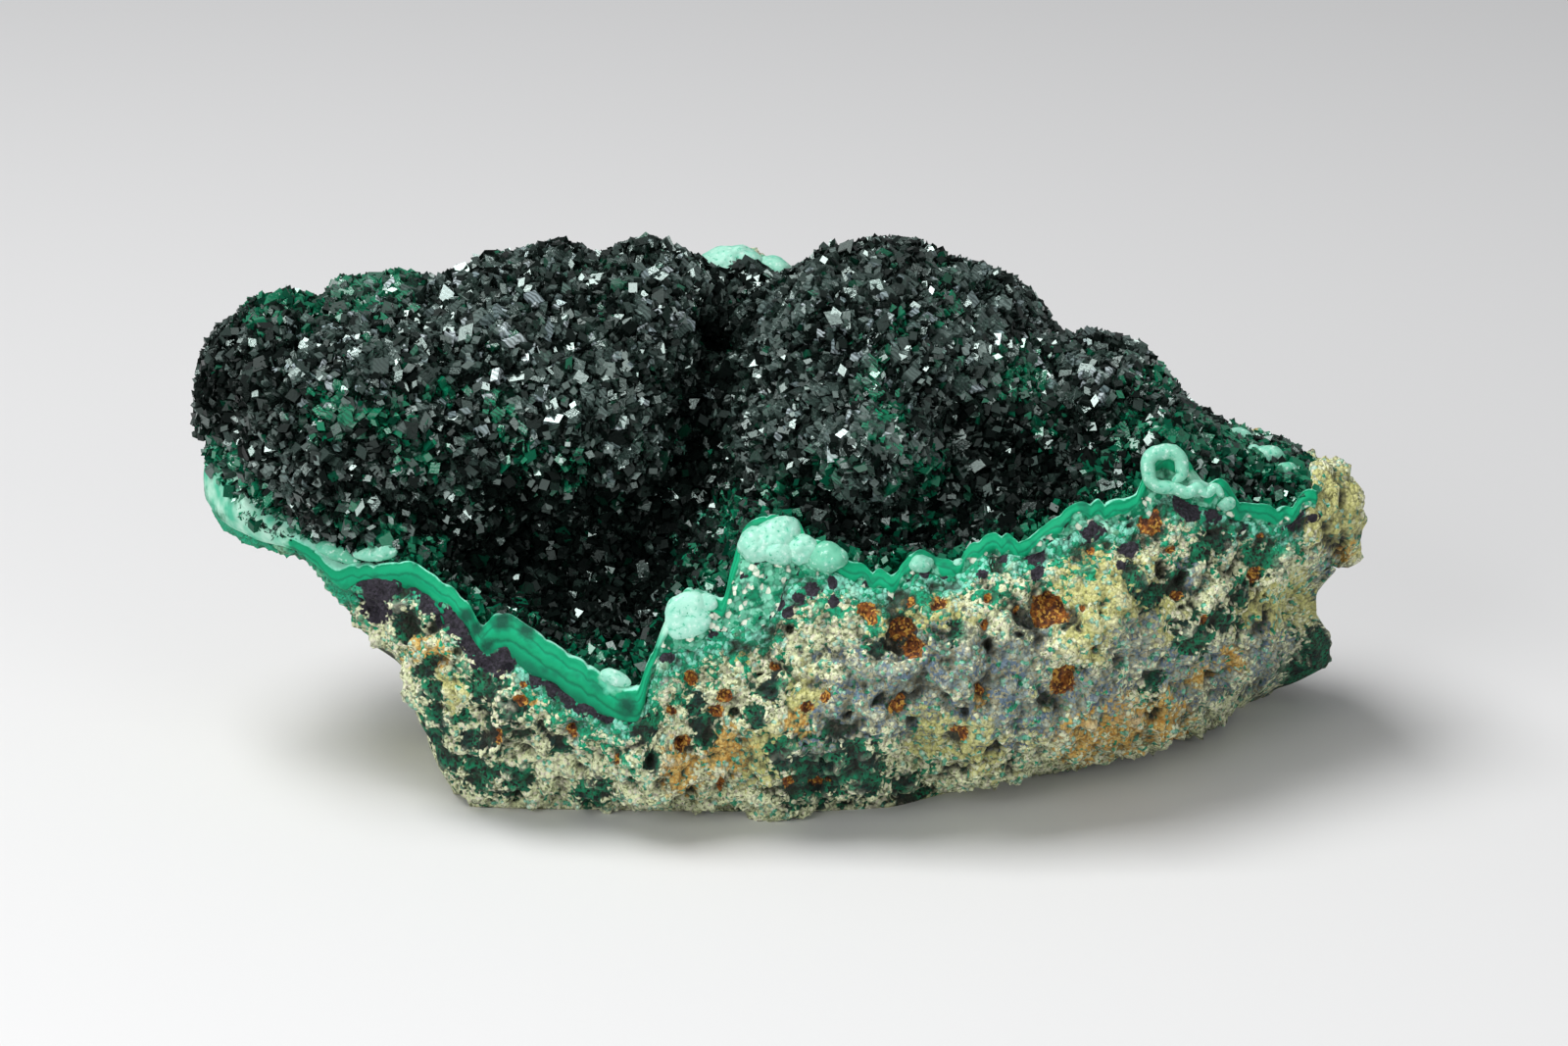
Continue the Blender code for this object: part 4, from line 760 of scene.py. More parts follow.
def band_piece(material):
    """The malachite layer's broken edge: a ribbon with a thin proud lip along its scalloped rim, its
    lower edge wandering over the rock. To the right it is thin, and granular below its rim."""
    places = stations(BAND_STEP, LAYERS_END)
    turns = np.concatenate([[-0.25, -0.14, -0.05], np.linspace(0, 1, BAND_SAMPLES), [1.04, 1.1, 1.18]])
    plain = outline_points(places, turns + TURN_BAND_FOOT)
    height_of_band = np.linalg.norm(plain[:, -4] - plain[:, 3], axis=1)
    rise = SCALLOP_RISE * scallops(places) * (0.5 + 0.5 * ease(-14, -8, places))
    rise = (rise + 0.12 * rough(plain[:, -4], 1.2, 2)) / height_of_band
    fall = 0.5 * rough(plain[:, 3], 2.6, 3) / height_of_band
    share = np.clip(turns, 0, 1)
    moved = turns + rise[:, None] * share + fall[:, None] * (1 - share)
    rings = outline_points(places, moved + TURN_BAND_FOOT)
    out = facing(rings)
    height = BAND_SWELL * np.sin(np.pi * share) + BAND_LIP * np.exp(-((turns - 0.93) / 0.07) ** 2)
    height = height - 1.2 * (1 - ease(-0.25, 0.03, turns)) - 1.0 * ease(0.98, 1.18, turns)
    height = height + 0.3 * rough(rings, 2.4, 4) * share ** 0.5
    run = np.linalg.norm(np.diff(rings, axis=1, prepend=rings[:, :1]), axis=2).cumsum(axis=1)
    rim = run[:, np.argmin(np.abs(turns - 1.0))][:, None] - run
    thin = ease(-14.5, -12.5, rings[..., 0]) * ease(1.3, 2.2, rim + 0.9 * rough(rings, 1.6, 2))
    lump, _ = cells(rings, 1.3)
    crumb, _ = cells(rings + 7.0, 0.6)
    crusty = 0.8 * (0.45 - lump) + 0.5 * (0.5 - crumb) + 0.4 * rough(rings, 1.6, 3) - 0.2
    height = height + thin * crusty
    face = rings + out * height[..., None]
    under = rings - out * np.maximum(1.5, 1.0 - height)[..., None]
    weights = {
        "from_rim": rim,
        "thin": thin,
        "pale": patch(face, PALE_BAND, 0.5),
        "painted_fold_shade": patch(face, BAND_SHADE, 0.5),
    }
    return shell_piece(
        "malachite_edge", face, under, weights, material, "banded_malachite", ["malachite_band"]
    )


def crust_surface(step, samples):
    """The crust's bed under its crystals: outlines sunk by CRYSTAL_ROOT and raised by the lobes, with
    a fan of smaller rings that carries it over the left tip."""
    turns = spread(samples, TURN_RIM)
    turns[0] = -0.06
    turns[-1] = TURN_BACK_TOP + 0.04
    rings = outline_points(stations(step, LAYERS_END), turns)
    out = facing(rings)
    height = swelling(rings, CRUST_RELIEF) + CRUST_LUMPS * (noise(rings, 3.5) - 0.5) * 2
    height += 0.35 * rough(rings, 1.8, 2)
    height = height * ease(0, 0.5, turns) * (1 - ease(5.7, 6.0, turns)) - CRYSTAL_ROOT
    to_end = np.minimum(rings[..., 0] - LEFT_END, LAYERS_END - rings[..., 0])
    height = np.where(to_end < 6, height * np.clip(to_end / 6, 0.3, 1), height)
    rings = rings + out * height[..., None]
    tip = outline_points(np.array([LEFT_END]), np.linspace(0, TURN_END, 60)).mean(axis=(0, 1))
    shares = np.array([0.15, 0.35, 0.55, 0.75, 0.9])[:, None, None]
    fan = tip + (rings[0] - tip) * shares
    fan[..., 0] = rings[0, :, 0] + TIP_INSET - 0.4 * np.sqrt(1 - shares[..., 0] ** 2)
    rings[..., 0] += TIP_INSET * np.clip(1 - (rings[..., 0] - LEFT_END) / 3, 0, 1)
    return np.concatenate([fan, rings]), turns


def crust_bed_piece(material):
    """The dark crust that the crystals stand on, a closed shell."""
    face, turns = crust_surface(*BED_GRID)
    under = face - facing(face) * 0.8
    weights = {"green": crystal_green(face, turns), "shade": 0.2 * noise(face, 0.9)}
    return shell_piece(
        "druse_bed", face, under, weights, material, "drusy_crystals", ["drusy_crust"]
    )


def crystal_green(points, turns):
    """How green the crust is: strongest in the fine strip over the rim and at the listed spots."""
    strip = 1 - ease(0.3, 1.3, turns)
    return np.maximum(strip * np.ones(points.shape[:-1]), patch(points, GREEN_DRUSE, 1.2))


# A tablet's eight corners and six sides, and a chisel's six corners and five sides
TABLET = np.array([(-1, -1, 0), (1, -1, 0), (1, 1, 0), (-1, 1, 0),
                   (-1, -1, 1), (1, -1, 1), (1, 1, 1), (-1, 1, 1)])
TABLET_SIDES = [np.array([(0, 3, 2, 1), (4, 5, 6, 7), (0, 1, 5, 4),
                          (1, 2, 6, 5), (2, 3, 7, 6), (3, 0, 4, 7)])]
CHISEL = np.array([(-1, -1, 0), (1, -1, 0), (1, 1, 0), (-1, 1, 0), (-1, 0, 1), (1, 0, 1)])
CHISEL_SIDES = [np.array([(0, 3, 2, 1), (0, 1, 5, 4), (2, 3, 4, 5)]), np.array([(1, 2, 5), (3, 0, 4)])]


def across_of(direction, random):
    """A random unit direction square to each of the given ones."""
    guess = random.normal(size=direction.shape)
    guess -= (guess * direction).sum(axis=-1, keepdims=True) * direction
    return guess / np.linalg.norm(guess, axis=-1, keepdims=True)


def grown(shape, sides, crystals, random):
    """Corners and faces of many crystals of one shape. The top corners are drawn in, skewed and cut at
    a slant; then corner = place + side * x + other * y + axis * z."""
    place, axis, width, depth, height = crystals
    side = across_of(axis, random)
    other = np.cross(axis, side)
    count = len(place)
    x, y, z = (np.repeat(shape[None, :, k] * 1.0, count, axis=0) for k in range(3))
    top = z > 0.5
    x = x * np.where(top, random.uniform(0.5, 0.98, (count, 1)), 0.9)
    x = x + y * random.uniform(-0.4, 0.4, (count, 1))
    slant_x, slant_y = random.uniform(-0.3, 0.3, (2, count, 1))
    z = np.where(top, 1 + slant_x * x + slant_y * y, -0.5)
    x, y, z = x * width[:, None] / 2, y * depth[:, None] / 2, z * height[:, None]
    corners = place[:, None] + side[:, None] * x[..., None] + other[:, None] * y[..., None]
    corners = corners + axis[:, None] * z[..., None]
    first = np.arange(count)[:, None, None] * len(shape)
    return corners.reshape(-1, 3), [(first + group).reshape(-1, group.shape[1]) for group in sides]


def crystals_piece(name, crystals, shade, green, random, material):
    """Tablets for the wider crystals and chisels for the rest, joined to one mesh."""
    tablet = crystals[2] > TABLET_WIDTH
    one, one_faces = grown(TABLET, TABLET_SIDES, [c[tablet] for c in crystals], random)
    two, two_faces = grown(CHISEL, CHISEL_SIDES, [c[~tablet] for c in crystals], random)
    faces = one_faces + [group + len(one) for group in two_faces]
    weights = {
        key: np.concatenate([np.repeat(w[tablet], len(TABLET)), np.repeat(w[~tablet], len(CHISEL))])
        for key, w in (("shade", shade), ("green", green))
    }
    return mesh_piece(name, np.concatenate([one, two]), faces, material, "drusy_crystals",
                      ["drusy_crust"], weights, smooth=False)


def scattered(grid, turns, per_area, random):
    """Random places on a grid surface, per_area of them to a square millimetre: a cell is picked by
    its area, and the place in it by two random shares. Gives place, outward direction and turn."""
    out = facing(grid)
    corner = grid[:-1, :-1]
    area = np.linalg.norm(np.cross(grid[1:, :-1] - corner, grid[:-1, 1:] - corner), axis=-1)
    wanted = np.cumsum((area * per_area[:-1, :-1]).ravel())
    count = int(wanted[-1])
    pick = np.searchsorted(wanted, random.random(count) * wanted[-1])
    i, j = np.divmod(pick, grid.shape[1] - 1)
    s, t = random.random((2, count, 1))
    place = (grid[i, j] * (1 - s) + grid[i + 1, j] * s) * (1 - t)
    place = place + (grid[i, j + 1] * (1 - s) + grid[i + 1, j + 1] * s) * t
    return place, out[i, j], turns[j] * (1 - t[:, 0]) + turns[j + 1] * t[:, 0]


def druse(material, random):
    """The crystals, in pieces from left to right: widths spread about CRYSTAL_WIDTH, small and green
    in the strip over the rim, leaning at random but alike within a rosette. At the left they also
    grow over the pale lip, down to a ragged edge that climbs to the rim at LIP_DRUSE_END."""
    grid, turns = crust_surface(*DRUSE_GRID)
    back = ease(4.9, 5.5, turns)
    rim = 1 - ease(0.1, 1.0, turns)
    per_area = np.broadcast_to(CRYSTALS_PER_AREA * (1 + 1.4 * rim - 0.5 * back), grid.shape[:2])
    place, out, turn = scattered(grid, turns, per_area, random)
    lip_turns = np.linspace(0.3, 1.0, 14)
    lip = outline_points(stations(0.5, LIP_DRUSE_END), lip_turns + TURN_BAND_FOOT)
    per_lip_area = np.full(lip.shape[:2], LIP_CRYSTALS_PER_AREA)
    on_lip, lip_out, share = scattered(lip, lip_turns, per_lip_area, random)
    edge = 0.62 + 0.3 * rough(on_lip, 2.0, 2)
    edge += 0.4 * ease(LIP_DRUSE_END - 7, LIP_DRUSE_END, on_lip[:, 0])
    grown_over = share > edge
    place = np.concatenate([place, on_lip[grown_over]])
    out = np.concatenate([out, lip_out[grown_over]])
    turn = np.concatenate([turn, 0.6 * share[grown_over]])
    keep = patch(place, BARE_OF_CRYSTALS, 0.0) < 0.5
    place, out, turn = place[keep], out[keep], turn[keep]
    count = len(place)
    fine = 1 - ease(0.1, 1.0, turn)
    # One crystal in eight is spared the painted shade and made pale and glossy
    lone = random.random(count) < 0.12
    # Painted shade in the listed hollows, valleys and slots: their crystals darker, less green and
    # duller
    dark = patch(place, DRUSE_PAINTED_SHADE, 1.5) * ~lone
    light = patch(place, LIGHT_DRUSE, 1.5)
    size = CRYSTAL_WIDTH * np.exp(random.normal(0, 0.48, count)) * (1 - 0.45 * fine)
    size = np.minimum(size * (0.75 + 0.5 * noise(place, 4.0)) * (1 + 0.35 * ease(5.0, 5.6, turn)), 1.8)
    rosette = np.floor(place / ROSETTE_SIZE + 0.5 * rough(place, 1.5, 1)[:, None])
    shared = np.stack([noise(rosette * 3.7 + 11.3 * k, 1.0) - 0.5 for k in range(3)], axis=1)
    in_rosette = noise(rosette * 5.3, 1.0) > 0.62
    lean = np.where(in_rosette[:, None], 1.5 * shared + random.normal(0, 0.12, (count, 3)),
                    random.normal(0, 0.42, (count, 3)))
    axis = out + lean
    axis = axis / np.linalg.norm(axis, axis=1, keepdims=True)
    depth = size * random.uniform(0.35, 1.0, count)
    height = np.minimum(size * random.uniform(0.5, 1.1, count), 0.65) + 0.2
    shade = random.random(count) * (1 - 0.8 * dark) + 0.3 * light * random.random(count)
    shade = np.where(lone, np.maximum(shade, 0.8), shade)
    pale = 0.72 + 0.26 * noise(rosette * 2.9, 1.0) * random.uniform(0.7, 1.0, count)
    shade = np.where(in_rosette & (light > 0.2), pale, np.where(in_rosette, shade * 0.9, shade * 0.93))
    green = crystal_green(place, turn) * (1 - 0.9 * dark)
    crystals = [place, axis, size, depth, height]
    for name, low, high in DRUSE_PARTS:
        here = (place[:, 0] >= low) & (place[:, 0] < high)
        crystals_piece(name, [c[here] for c in crystals], shade[here], green[here], random, material)


def sight_line():
    """Unit direction towards the camera."""
    return np.array([0.0, -math.cos(SIGHT_TILT), math.sin(SIGHT_TILT)])


def on_surface(grid, across, up):
    """Place and outward direction of the grid's point that is seen nearest to (across, up), of those
    that face the camera."""
    out = facing(grid)
    a, u = seen(grid)
    gap = (a - across) ** 2 + (u - up) ** 2 + 1e6 * (out @ sight_line() < 0.1)
    i, j = np.unravel_index(np.argmin(gap), gap.shape)
    return grid[i, j], out[i, j]


def lump(centre, out, radii, turned, bubbles, rings=24, around=36):
    """Points and faces of a rounded knob: an ellipsoid of (width, height, depth) radii on the surface,
    its depth along the outward direction, dented between the bubbles of a cell pattern."""
    out = out / np.linalg.norm(out)
    right = np.cross([0.0, 0.0, 1.0], out)
    right = right / np.linalg.norm(right)
    right = right * math.cos(turned) + np.cross(out, right) * math.sin(turned)
    rise = np.cross(out, right)
    polar = np.linspace(0, np.pi, rings)[:, None]
    angle = (np.arange(around) / around * 2 * np.pi)[None]
    unit = np.stack([np.sin(polar) * np.cos(angle), np.sin(polar) * np.sin(angle),
                     np.cos(polar) + 0 * angle], axis=-1)
    grid = centre + (unit[..., :1] * radii[0] * right + unit[..., 1:2] * radii[1] * rise
                     + unit[..., 2:] * radii[2] * out)
    away = (grid - centre) / np.linalg.norm(grid - centre, axis=-1, keepdims=True)
    gap, _ = cells(grid, bubbles)
    grid = grid + away * (0.22 * bubbles * (0.6 - gap) + 0.3 * rough(grid, 1.1, 3))[..., None]
    poles = [grid[0].mean(axis=0)[None], grid[-1].mean(axis=0)[None]]
    points = np.concatenate([grid[1:-1].reshape(-1, 3)] + poles)
    return points, around_faces(rings - 2, around), end_fans(rings - 2, around)


def lumps_piece(name, lumps, *words):
    """Rounded knobs joined to one mesh, each (centre, outward, radii, turned, bubbles, tint)."""
    shapes = [lump(*one[:-1]) for one in lumps]
    starts = np.cumsum([0] + [len(points) for points, _, _ in shapes])
    quads = np.concatenate([body + start for (_, body, _), start in zip(shapes, starts)])
    triangles = np.concatenate([fans + start for (_, _, fans), start in zip(shapes, starts)])
    tint = np.concatenate([np.full(len(shape[0]), one[-1]) for shape, one in zip(shapes, lumps)])
    points = np.concatenate([points for points, _, _ in shapes])
    return mesh_piece(name, points, [quads, triangles], *words, {"tint": tint})


def knobs_on(grid, knobs):
    """The knobs of a list given as seen, set on a surface and turned halfway to the camera."""
    made = []
    for across, up, radii, turned, bubbles, tint in knobs:
        centre, out = on_surface(grid, across, up)
        made.append((centre, out + sight_line(), radii, math.radians(turned), bubbles, tint))
    return made


def curl_piece(material):
    """The malachite curl: circles of CURL_PATH's radii carried along its smooth curve, which lies
    square to the sight line; a little rough, and closed by a point beyond each end."""
    right = np.array([1.0, 0.0, 0.0])
    out = sight_line()
    rise = np.cross(out, right)
    steps = np.linspace(0, len(CURL_PATH) - 1, CURL_STEPS)
    path = smooth_through(np.arange(len(CURL_PATH)) * 1.0, np.array(CURL_PATH), steps)
    line = placed([CURL_CENTRE])[0] + path[:, :1] * right + path[:, 1:2] * rise
    radius = path[:, 2]
    ahead = np.gradient(line, axis=0)
    ahead = ahead / np.linalg.norm(ahead, axis=1, keepdims=True)
    inward = np.cross(out, ahead)
    angle = np.arange(CURL_AROUND) / CURL_AROUND * 2 * np.pi
    ring = np.cos(angle)[None, :, None] * inward[:, None] + np.sin(angle)[None, :, None] * out
    tube = line[:, None] + ring * radius[:, None, None]
    tube = tube + ring * (0.12 * rough(tube, 0.9, 2))[..., None]
    ends = [line[:1] - ahead[:1] * radius[0], line[-1:] + ahead[-1:] * radius[-1]]
    points = np.concatenate([tube.reshape(-1, 3)] + ends)
    faces = [around_faces(CURL_STEPS, CURL_AROUND)[:, ::-1], end_fans(CURL_STEPS, CURL_AROUND)[:, ::-1]]
    return mesh_piece("malachite_curl", points, faces, material, "banded_malachite",
                      ["malachite_band"], {"tint": np.full(len(points), CURL_TINT)})


def linear(colour):
    """Linear RGBA of an sRGB hex colour."""
    shares = [int(colour[k:k + 2], 16) / 255 for k in (1, 3, 5)]
    return (*[s / 12.92 if s <= 0.04045 else ((s + 0.055) / 1.055) ** 2.4 for s in shares], 1.0)


def node(tree, kind, inputs=(), output=0, **settings):
    """Adds a node with its settings, sets or links its inputs, and gives one of its outputs."""
    made = tree.nodes.new(kind)
    for key, value in settings.items():
        setattr(made, key, value)
    for key, value in dict(inputs).items():
        if isinstance(value, bpy.types.NodeSocket):
            tree.links.new(value, made.inputs[key])
        else:
            made.inputs[key].default_value = value
    return made.outputs[output]


def finish_of(name, roughness, ior):
    """A material with a Principled shader of plain roughness and refraction, and the object's own
    coordinates in millimetres."""
    made = bpy.data.materials.new(name)
    made.use_nodes = True
    tree = made.node_tree
    shader = tree.nodes["Principled BSDF"]
    shader.inputs["Roughness"].default_value = roughness
    shader.inputs["IOR"].default_value = ior
    own = node(tree, "ShaderNodeTexCoord", (), "Object")
    place = node(tree, "ShaderNodeVectorMath", {0: own, "Scale": 1 / MM}, operation="SCALE")
    return made, tree, shader, place


def dressed(tree, shader, colour, height, strength, depth):
    """Gives the shader its colour, and its fine relief of that depth in millimetres."""
    relief = {"Height": height, "Strength": strength, "Distance": depth * MM}
    tree.links.new(colour, shader.inputs["Base Color"])
    tree.links.new(node(tree, "ShaderNodeBump", relief), shader.inputs["Normal"])


def coated(tree, colour, *coats):
    """Colours laid one over another, each (share, colour). A share given as (value, low, high, most)
    is 0 where the value is at low, the most where it is at high, and even between."""
    for share, coat in coats:
        if isinstance(share, tuple):
            share = node(tree, "ShaderNodeMapRange", dict(zip((0, 1, 2, 4), share)))
        under, over = (linear(tone) if isinstance(tone, str) else tone for tone in (colour, coat))
        colour = node(tree, "ShaderNodeMix", {0: share, 6: under, 7: over}, 2, data_type="RGBA")
    return colour


def patchy(tree, amount, texture, spread, low, high):
    """Share of an irregular patch: the amount, moved by a texture around 0.5, cut between two
    levels."""
    moved = node(tree, "ShaderNodeMath", {0: texture, 1: spread, 2: amount}, operation="MULTIPLY_ADD")
    return node(tree, "ShaderNodeMapRange", {0: moved, 1: low + spread / 2, 2: high + spread / 2})


def grains_of(tree, place, size):
    """Packed grains size millimetres wide: each one's own random number, and the distance from its
    middle, which is greatest in the gaps."""
    gap = node(tree, "ShaderNodeTexVoronoi", {"Vector": place, "Scale": 1 / size}, "Distance")
    return node(tree, "ShaderNodeSeparateXYZ", {0: gap.node.outputs["Color"]}), gap


def toned(band, tones):
    """Sets the colours of a colour band, each (position, colour)."""
    while len(band.elements) < len(tones):
        band.elements.new(0.5)
    for stop, (position, colour) in zip(band.elements, tones):
        stop.position = position
        stop.color = linear(colour)


def granular_matrix():
    """Weathered limonitic matrix: matt grains of cream, grey and yellow with dark gaps, painted shade
    in its vugs and low places and painted light on its raised grains, crusted mint and stained green
    under the malachite, with rust-lined holes."""
    made, tree, shader, place = finish_of("granular_matrix", 0.85, 1.5)
    soft = {"Vector": place, "Roughness": 0.55}
    # Lumps 1.8 mm, 0.28 mm and 0.6 mm wide, and two sizes of packed grains
    middle = node(tree, "ShaderNodeTexNoise", {**soft, "Scale": 1 / 1.8, "Detail": 3.0})
    tiny = node(tree, "ShaderNodeTexNoise", {**soft, "Scale": 1 / 0.28, "Detail": 2.0})
    crisp = {"Vector": place, "Roughness": 0.65}
    fine = node(tree, "ShaderNodeTexNoise", {**crisp, "Scale": 1 / 0.6, "Detail": 3.0})
    own, gap = grains_of(tree, place, 0.46)
    speck, speck_gap = grains_of(tree, place, 0.27)
    front, below, relief, ribbon, oxide, stain, grey, ochre, yellow, rust = (
        node(tree, "ShaderNodeAttribute", (), "Fac", attribute_name=name)
        for name in ("front", "below", "relief", "ribbon", "oxide", "deep_green", "grey", "ochre",
                     "yellow", "rust")
    )
    # The patches' ragged outlines: grain by grain, and those that gather in the hollows
    mottle = node(tree, "ShaderNodeMix", {0: 0.5, 2: own, 3: middle})
    lumpy = node(tree, "ShaderNodeMix", {0: 0.25, 2: middle, 3: own})
    lower = node(tree, "ShaderNodeMath", {0: relief, 1: -0.7, 2: 0.35}, operation="MULTIPLY_ADD")
    sunk = node(tree, "ShaderNodeMath", {0: mottle, 1: lower}, operation="ADD")
    # How near the malachite is, within 10 mm, 8 mm and 3 mm below it
    near = node(tree, "ShaderNodeMapRange", {0: below, 1: 10.5, 2: 0.5, 4: front})
    near = node(tree, "ShaderNodeMath", {0: near, 1: near}, operation="MULTIPLY")
    edge = node(tree, "ShaderNodeMapRange", {0: below, 1: 8.0, 2: 0.0, 4: front})
    close = node(tree, "ShaderNodeMapRange", {0: below, 1: 3.2, 2: 0.6, 4: front})
    # Pinholes between the finest grains, in some places only
    pitted = node(tree, "ShaderNodeMapRange", {0: fine, 1: 0.46, 2: 0.56})
    pins = node(tree, "ShaderNodeMapRange", {0: speck_gap, 1: 0.24, 2: 0.12, 4: pitted})
    greys = coated(tree, "#9caa9c", ((middle, 0.42, 0.58), "#6c8294"), ((speck, 0.6, 0.62), "#a7a588"))
    stains = coated(tree, "#08302a", ((middle, 0.4, 0.6), "#0b8259"), ((speck, 0.3, 0.26), "#0a1c17"))
    minty = coated(tree, "#0aa074", ((own, 0.4, 0.5), "#82dcc0"))
    rusts = coated(tree, "#4a2410", ((fine, 0.45, 0.62), "#a2611f"), ((speck, 0.75, 0.8), "#c9973f"))
    colour = coated(
        tree, "#f0f5cc",
        (own, "#d2daa2"),
        ((speck, 0.82, 0.84), "#e6e1c8"),
        ((speck, 0.2, 0.18), "#8b956c"),
        (patchy(tree, yellow, mottle, 1.5, 0.35, 0.5), coated(tree, "#dcda98", (speck, "#b8b86c"))),
        (patchy(tree, grey, sunk, 1.3, 0.4, 0.56), greys),
        (patchy(tree, ochre, mottle, 1.6, 0.4, 0.55), coated(tree, "#c8913a", (speck, "#e0c576"))),
        ((own, 0.84, 0.87, front), coated(tree, "#0b7f5a", (speck, "#7fd0b0"))),
        (patchy(tree, near, mottle, 2.4, 0.5, 0.6), coated(tree, "#8fd2b8", (speck, "#d2e6d2"))),
        (patchy(tree, edge, lumpy, 3.4, 0.56, 0.68), coated(tree, "#057a54", (speck, "#14b584"))),
        (patchy(tree, close, fine, 1.6, 0.42, 0.52), minty),
        ((ribbon, 0.3, 0.6), coated(tree, "#0c8c66", (fine, "#2fbf92"))),
        (patchy(tree, stain, sunk, 1.1, 0.36, 0.5), stains),
        # Painted shade in the rock's low places and vugs, and painted light on its raised grains, both
        # by its relief
        ((relief, 0.45, 0.15, 0.88), "#23221a"),
        ((relief, 0.58, 0.9, 0.4), "#eaedd2"),
        ((gap, 0.5, 0.8, 0.55), "#33352a"),
        (pins, "#1f1d16"),
        (patchy(tree, oxide, mottle, 0.9, 0.4, 0.48), coated(tree, "#100e16", (speck, "#35303c"))),
        (patchy(tree, rust, fine, 0.9, 0.42, 0.5), rusts),
    )
    height = 0.0
    for texture, share in ((fine, 0.9), (tiny, 0.5), (gap, -0.7), (pins, -0.6)):
        terms = {0: texture, 1: share, 2: height}
        height = node(tree, "ShaderNodeMath", terms, operation="MULTIPLY_ADD")
    dressed(tree, shader, colour, height, 0.9, 0.4)
    return made


def banded_malachite():
    """Massive fibrous malachite, broken: silky green in fine layers, with a pale mint skin at its rim
    and a granular crust where the layer is thin."""
    made, tree, shader, place = finish_of("banded_malachite", 0.7, 1.5)
    shader.inputs["Specular IOR Level"].default_value = 0.22
    soft = {"Vector": place, "Roughness": 0.55}
    fine = node(tree, "ShaderNodeTexNoise", {**soft, "Scale": 1 / 0.6, "Detail": 3.0})
    middle = node(tree, "ShaderNodeTexNoise", {**soft, "Scale": 1 / 2.2, "Detail": 2.0})
    clumps = node(tree, "ShaderNodeTexNoise", {**soft, "Scale": 1 / 1.4, "Detail": 3.0})
    dark_clumps = node(tree, "ShaderNodeTexNoise", {**soft, "Scale": 1 / 1.1, "Detail": 2.0})
    own, gap = grains_of(tree, place, 0.55)
    rim, thin, painted_fold_shade, pale = (
        node(tree, "ShaderNodeAttribute", (), "Fac", attribute_name=name)
        for name in ("from_rim", "thin", "painted_fold_shade", "pale")
    )
    # The layers run 4 mm down from the rim, their edges wavy by a quarter of a millimetre each way
    wavy = node(tree, "ShaderNodeMath", {0: fine, 1: 0.5, 2: rim}, operation="MULTIPLY_ADD")
    layers = node(tree, "ShaderNodeValToRGB", {
        0: node(tree, "ShaderNodeMapRange", {0: wavy, 1: 0.25, 2: 4.25})
    })
    toned(layers.node.color_ramp, [
        (0.0, "#a0e6cf"), (0.035, "#6fd6b4"), (0.06, "#049568"), (0.24, "#029b6c"), (0.3, "#027a56"),
        (0.35, "#02a071"), (0.56, "#029465"), (0.64, "#026e4e"), (0.72, "#02996b"), (1.0, "#027552"),
    ])
    mint = coated(tree, "#b4e0cc", ((middle, 0.35, 0.65), "#4fb593"))
    crust = coated(
        tree, "#86cfb3",
        (own, "#0c9168"),
        ((clumps, 0.5, 0.56), "#08805a"),
        ((dark_clumps, 0.62, 0.66), "#1d1b24"),
        ((own, 0.84, 0.86), "#d9e2cf"),
        ((gap, 0.5, 0.8, 0.6), "#14382c"),
    )
    colour = coated(
        tree, layers,
        ((middle, 0.55, 0.75), "#0b6c50"),
        # Painted shade, darker green where the band dips into notches and folds
        (patchy(tree, painted_fold_shade, fine, 0.6, 0.35, 0.9), "#084f3b"),
        (patchy(tree, pale, fine, 0.5, 0.4, 0.62), mint),
        ((thin, 0.35, 0.6), crust),
    )
    dressed(tree, shader, colour, fine, 0.35, 0.2)
    return made


def botryoidal_skin():
    """Smooth botryoidal skin over malachite: waxy, from green to pale mint by each knob's tint."""
    made, tree, shader, place = finish_of("botryoidal_skin", 0.6, 1.5)
    soft = {"Vector": place, "Roughness": 0.55}
    fine = node(tree, "ShaderNodeTexNoise", {**soft, "Scale": 1 / 0.5, "Detail": 3.0})
    middle = node(tree, "ShaderNodeTexNoise", {**soft, "Scale": 1 / 1.6, "Detail": 2.0})
    tint = node(tree, "ShaderNodeAttribute", (), "Fac", attribute_name="tint")
    colour = coated(
        tree, "#12a377",
        (tint, "#a4dcc8"),
        ((middle, 0.45, 0.75), "#79c8ae"),
        ((fine, 0.56, 0.7), "#c5e8da"),
        ((fine, 0.42, 0.3), "#3fae8c"),
    )
    dressed(tree, shader, colour, fine, 0.3, 0.15)
    return made


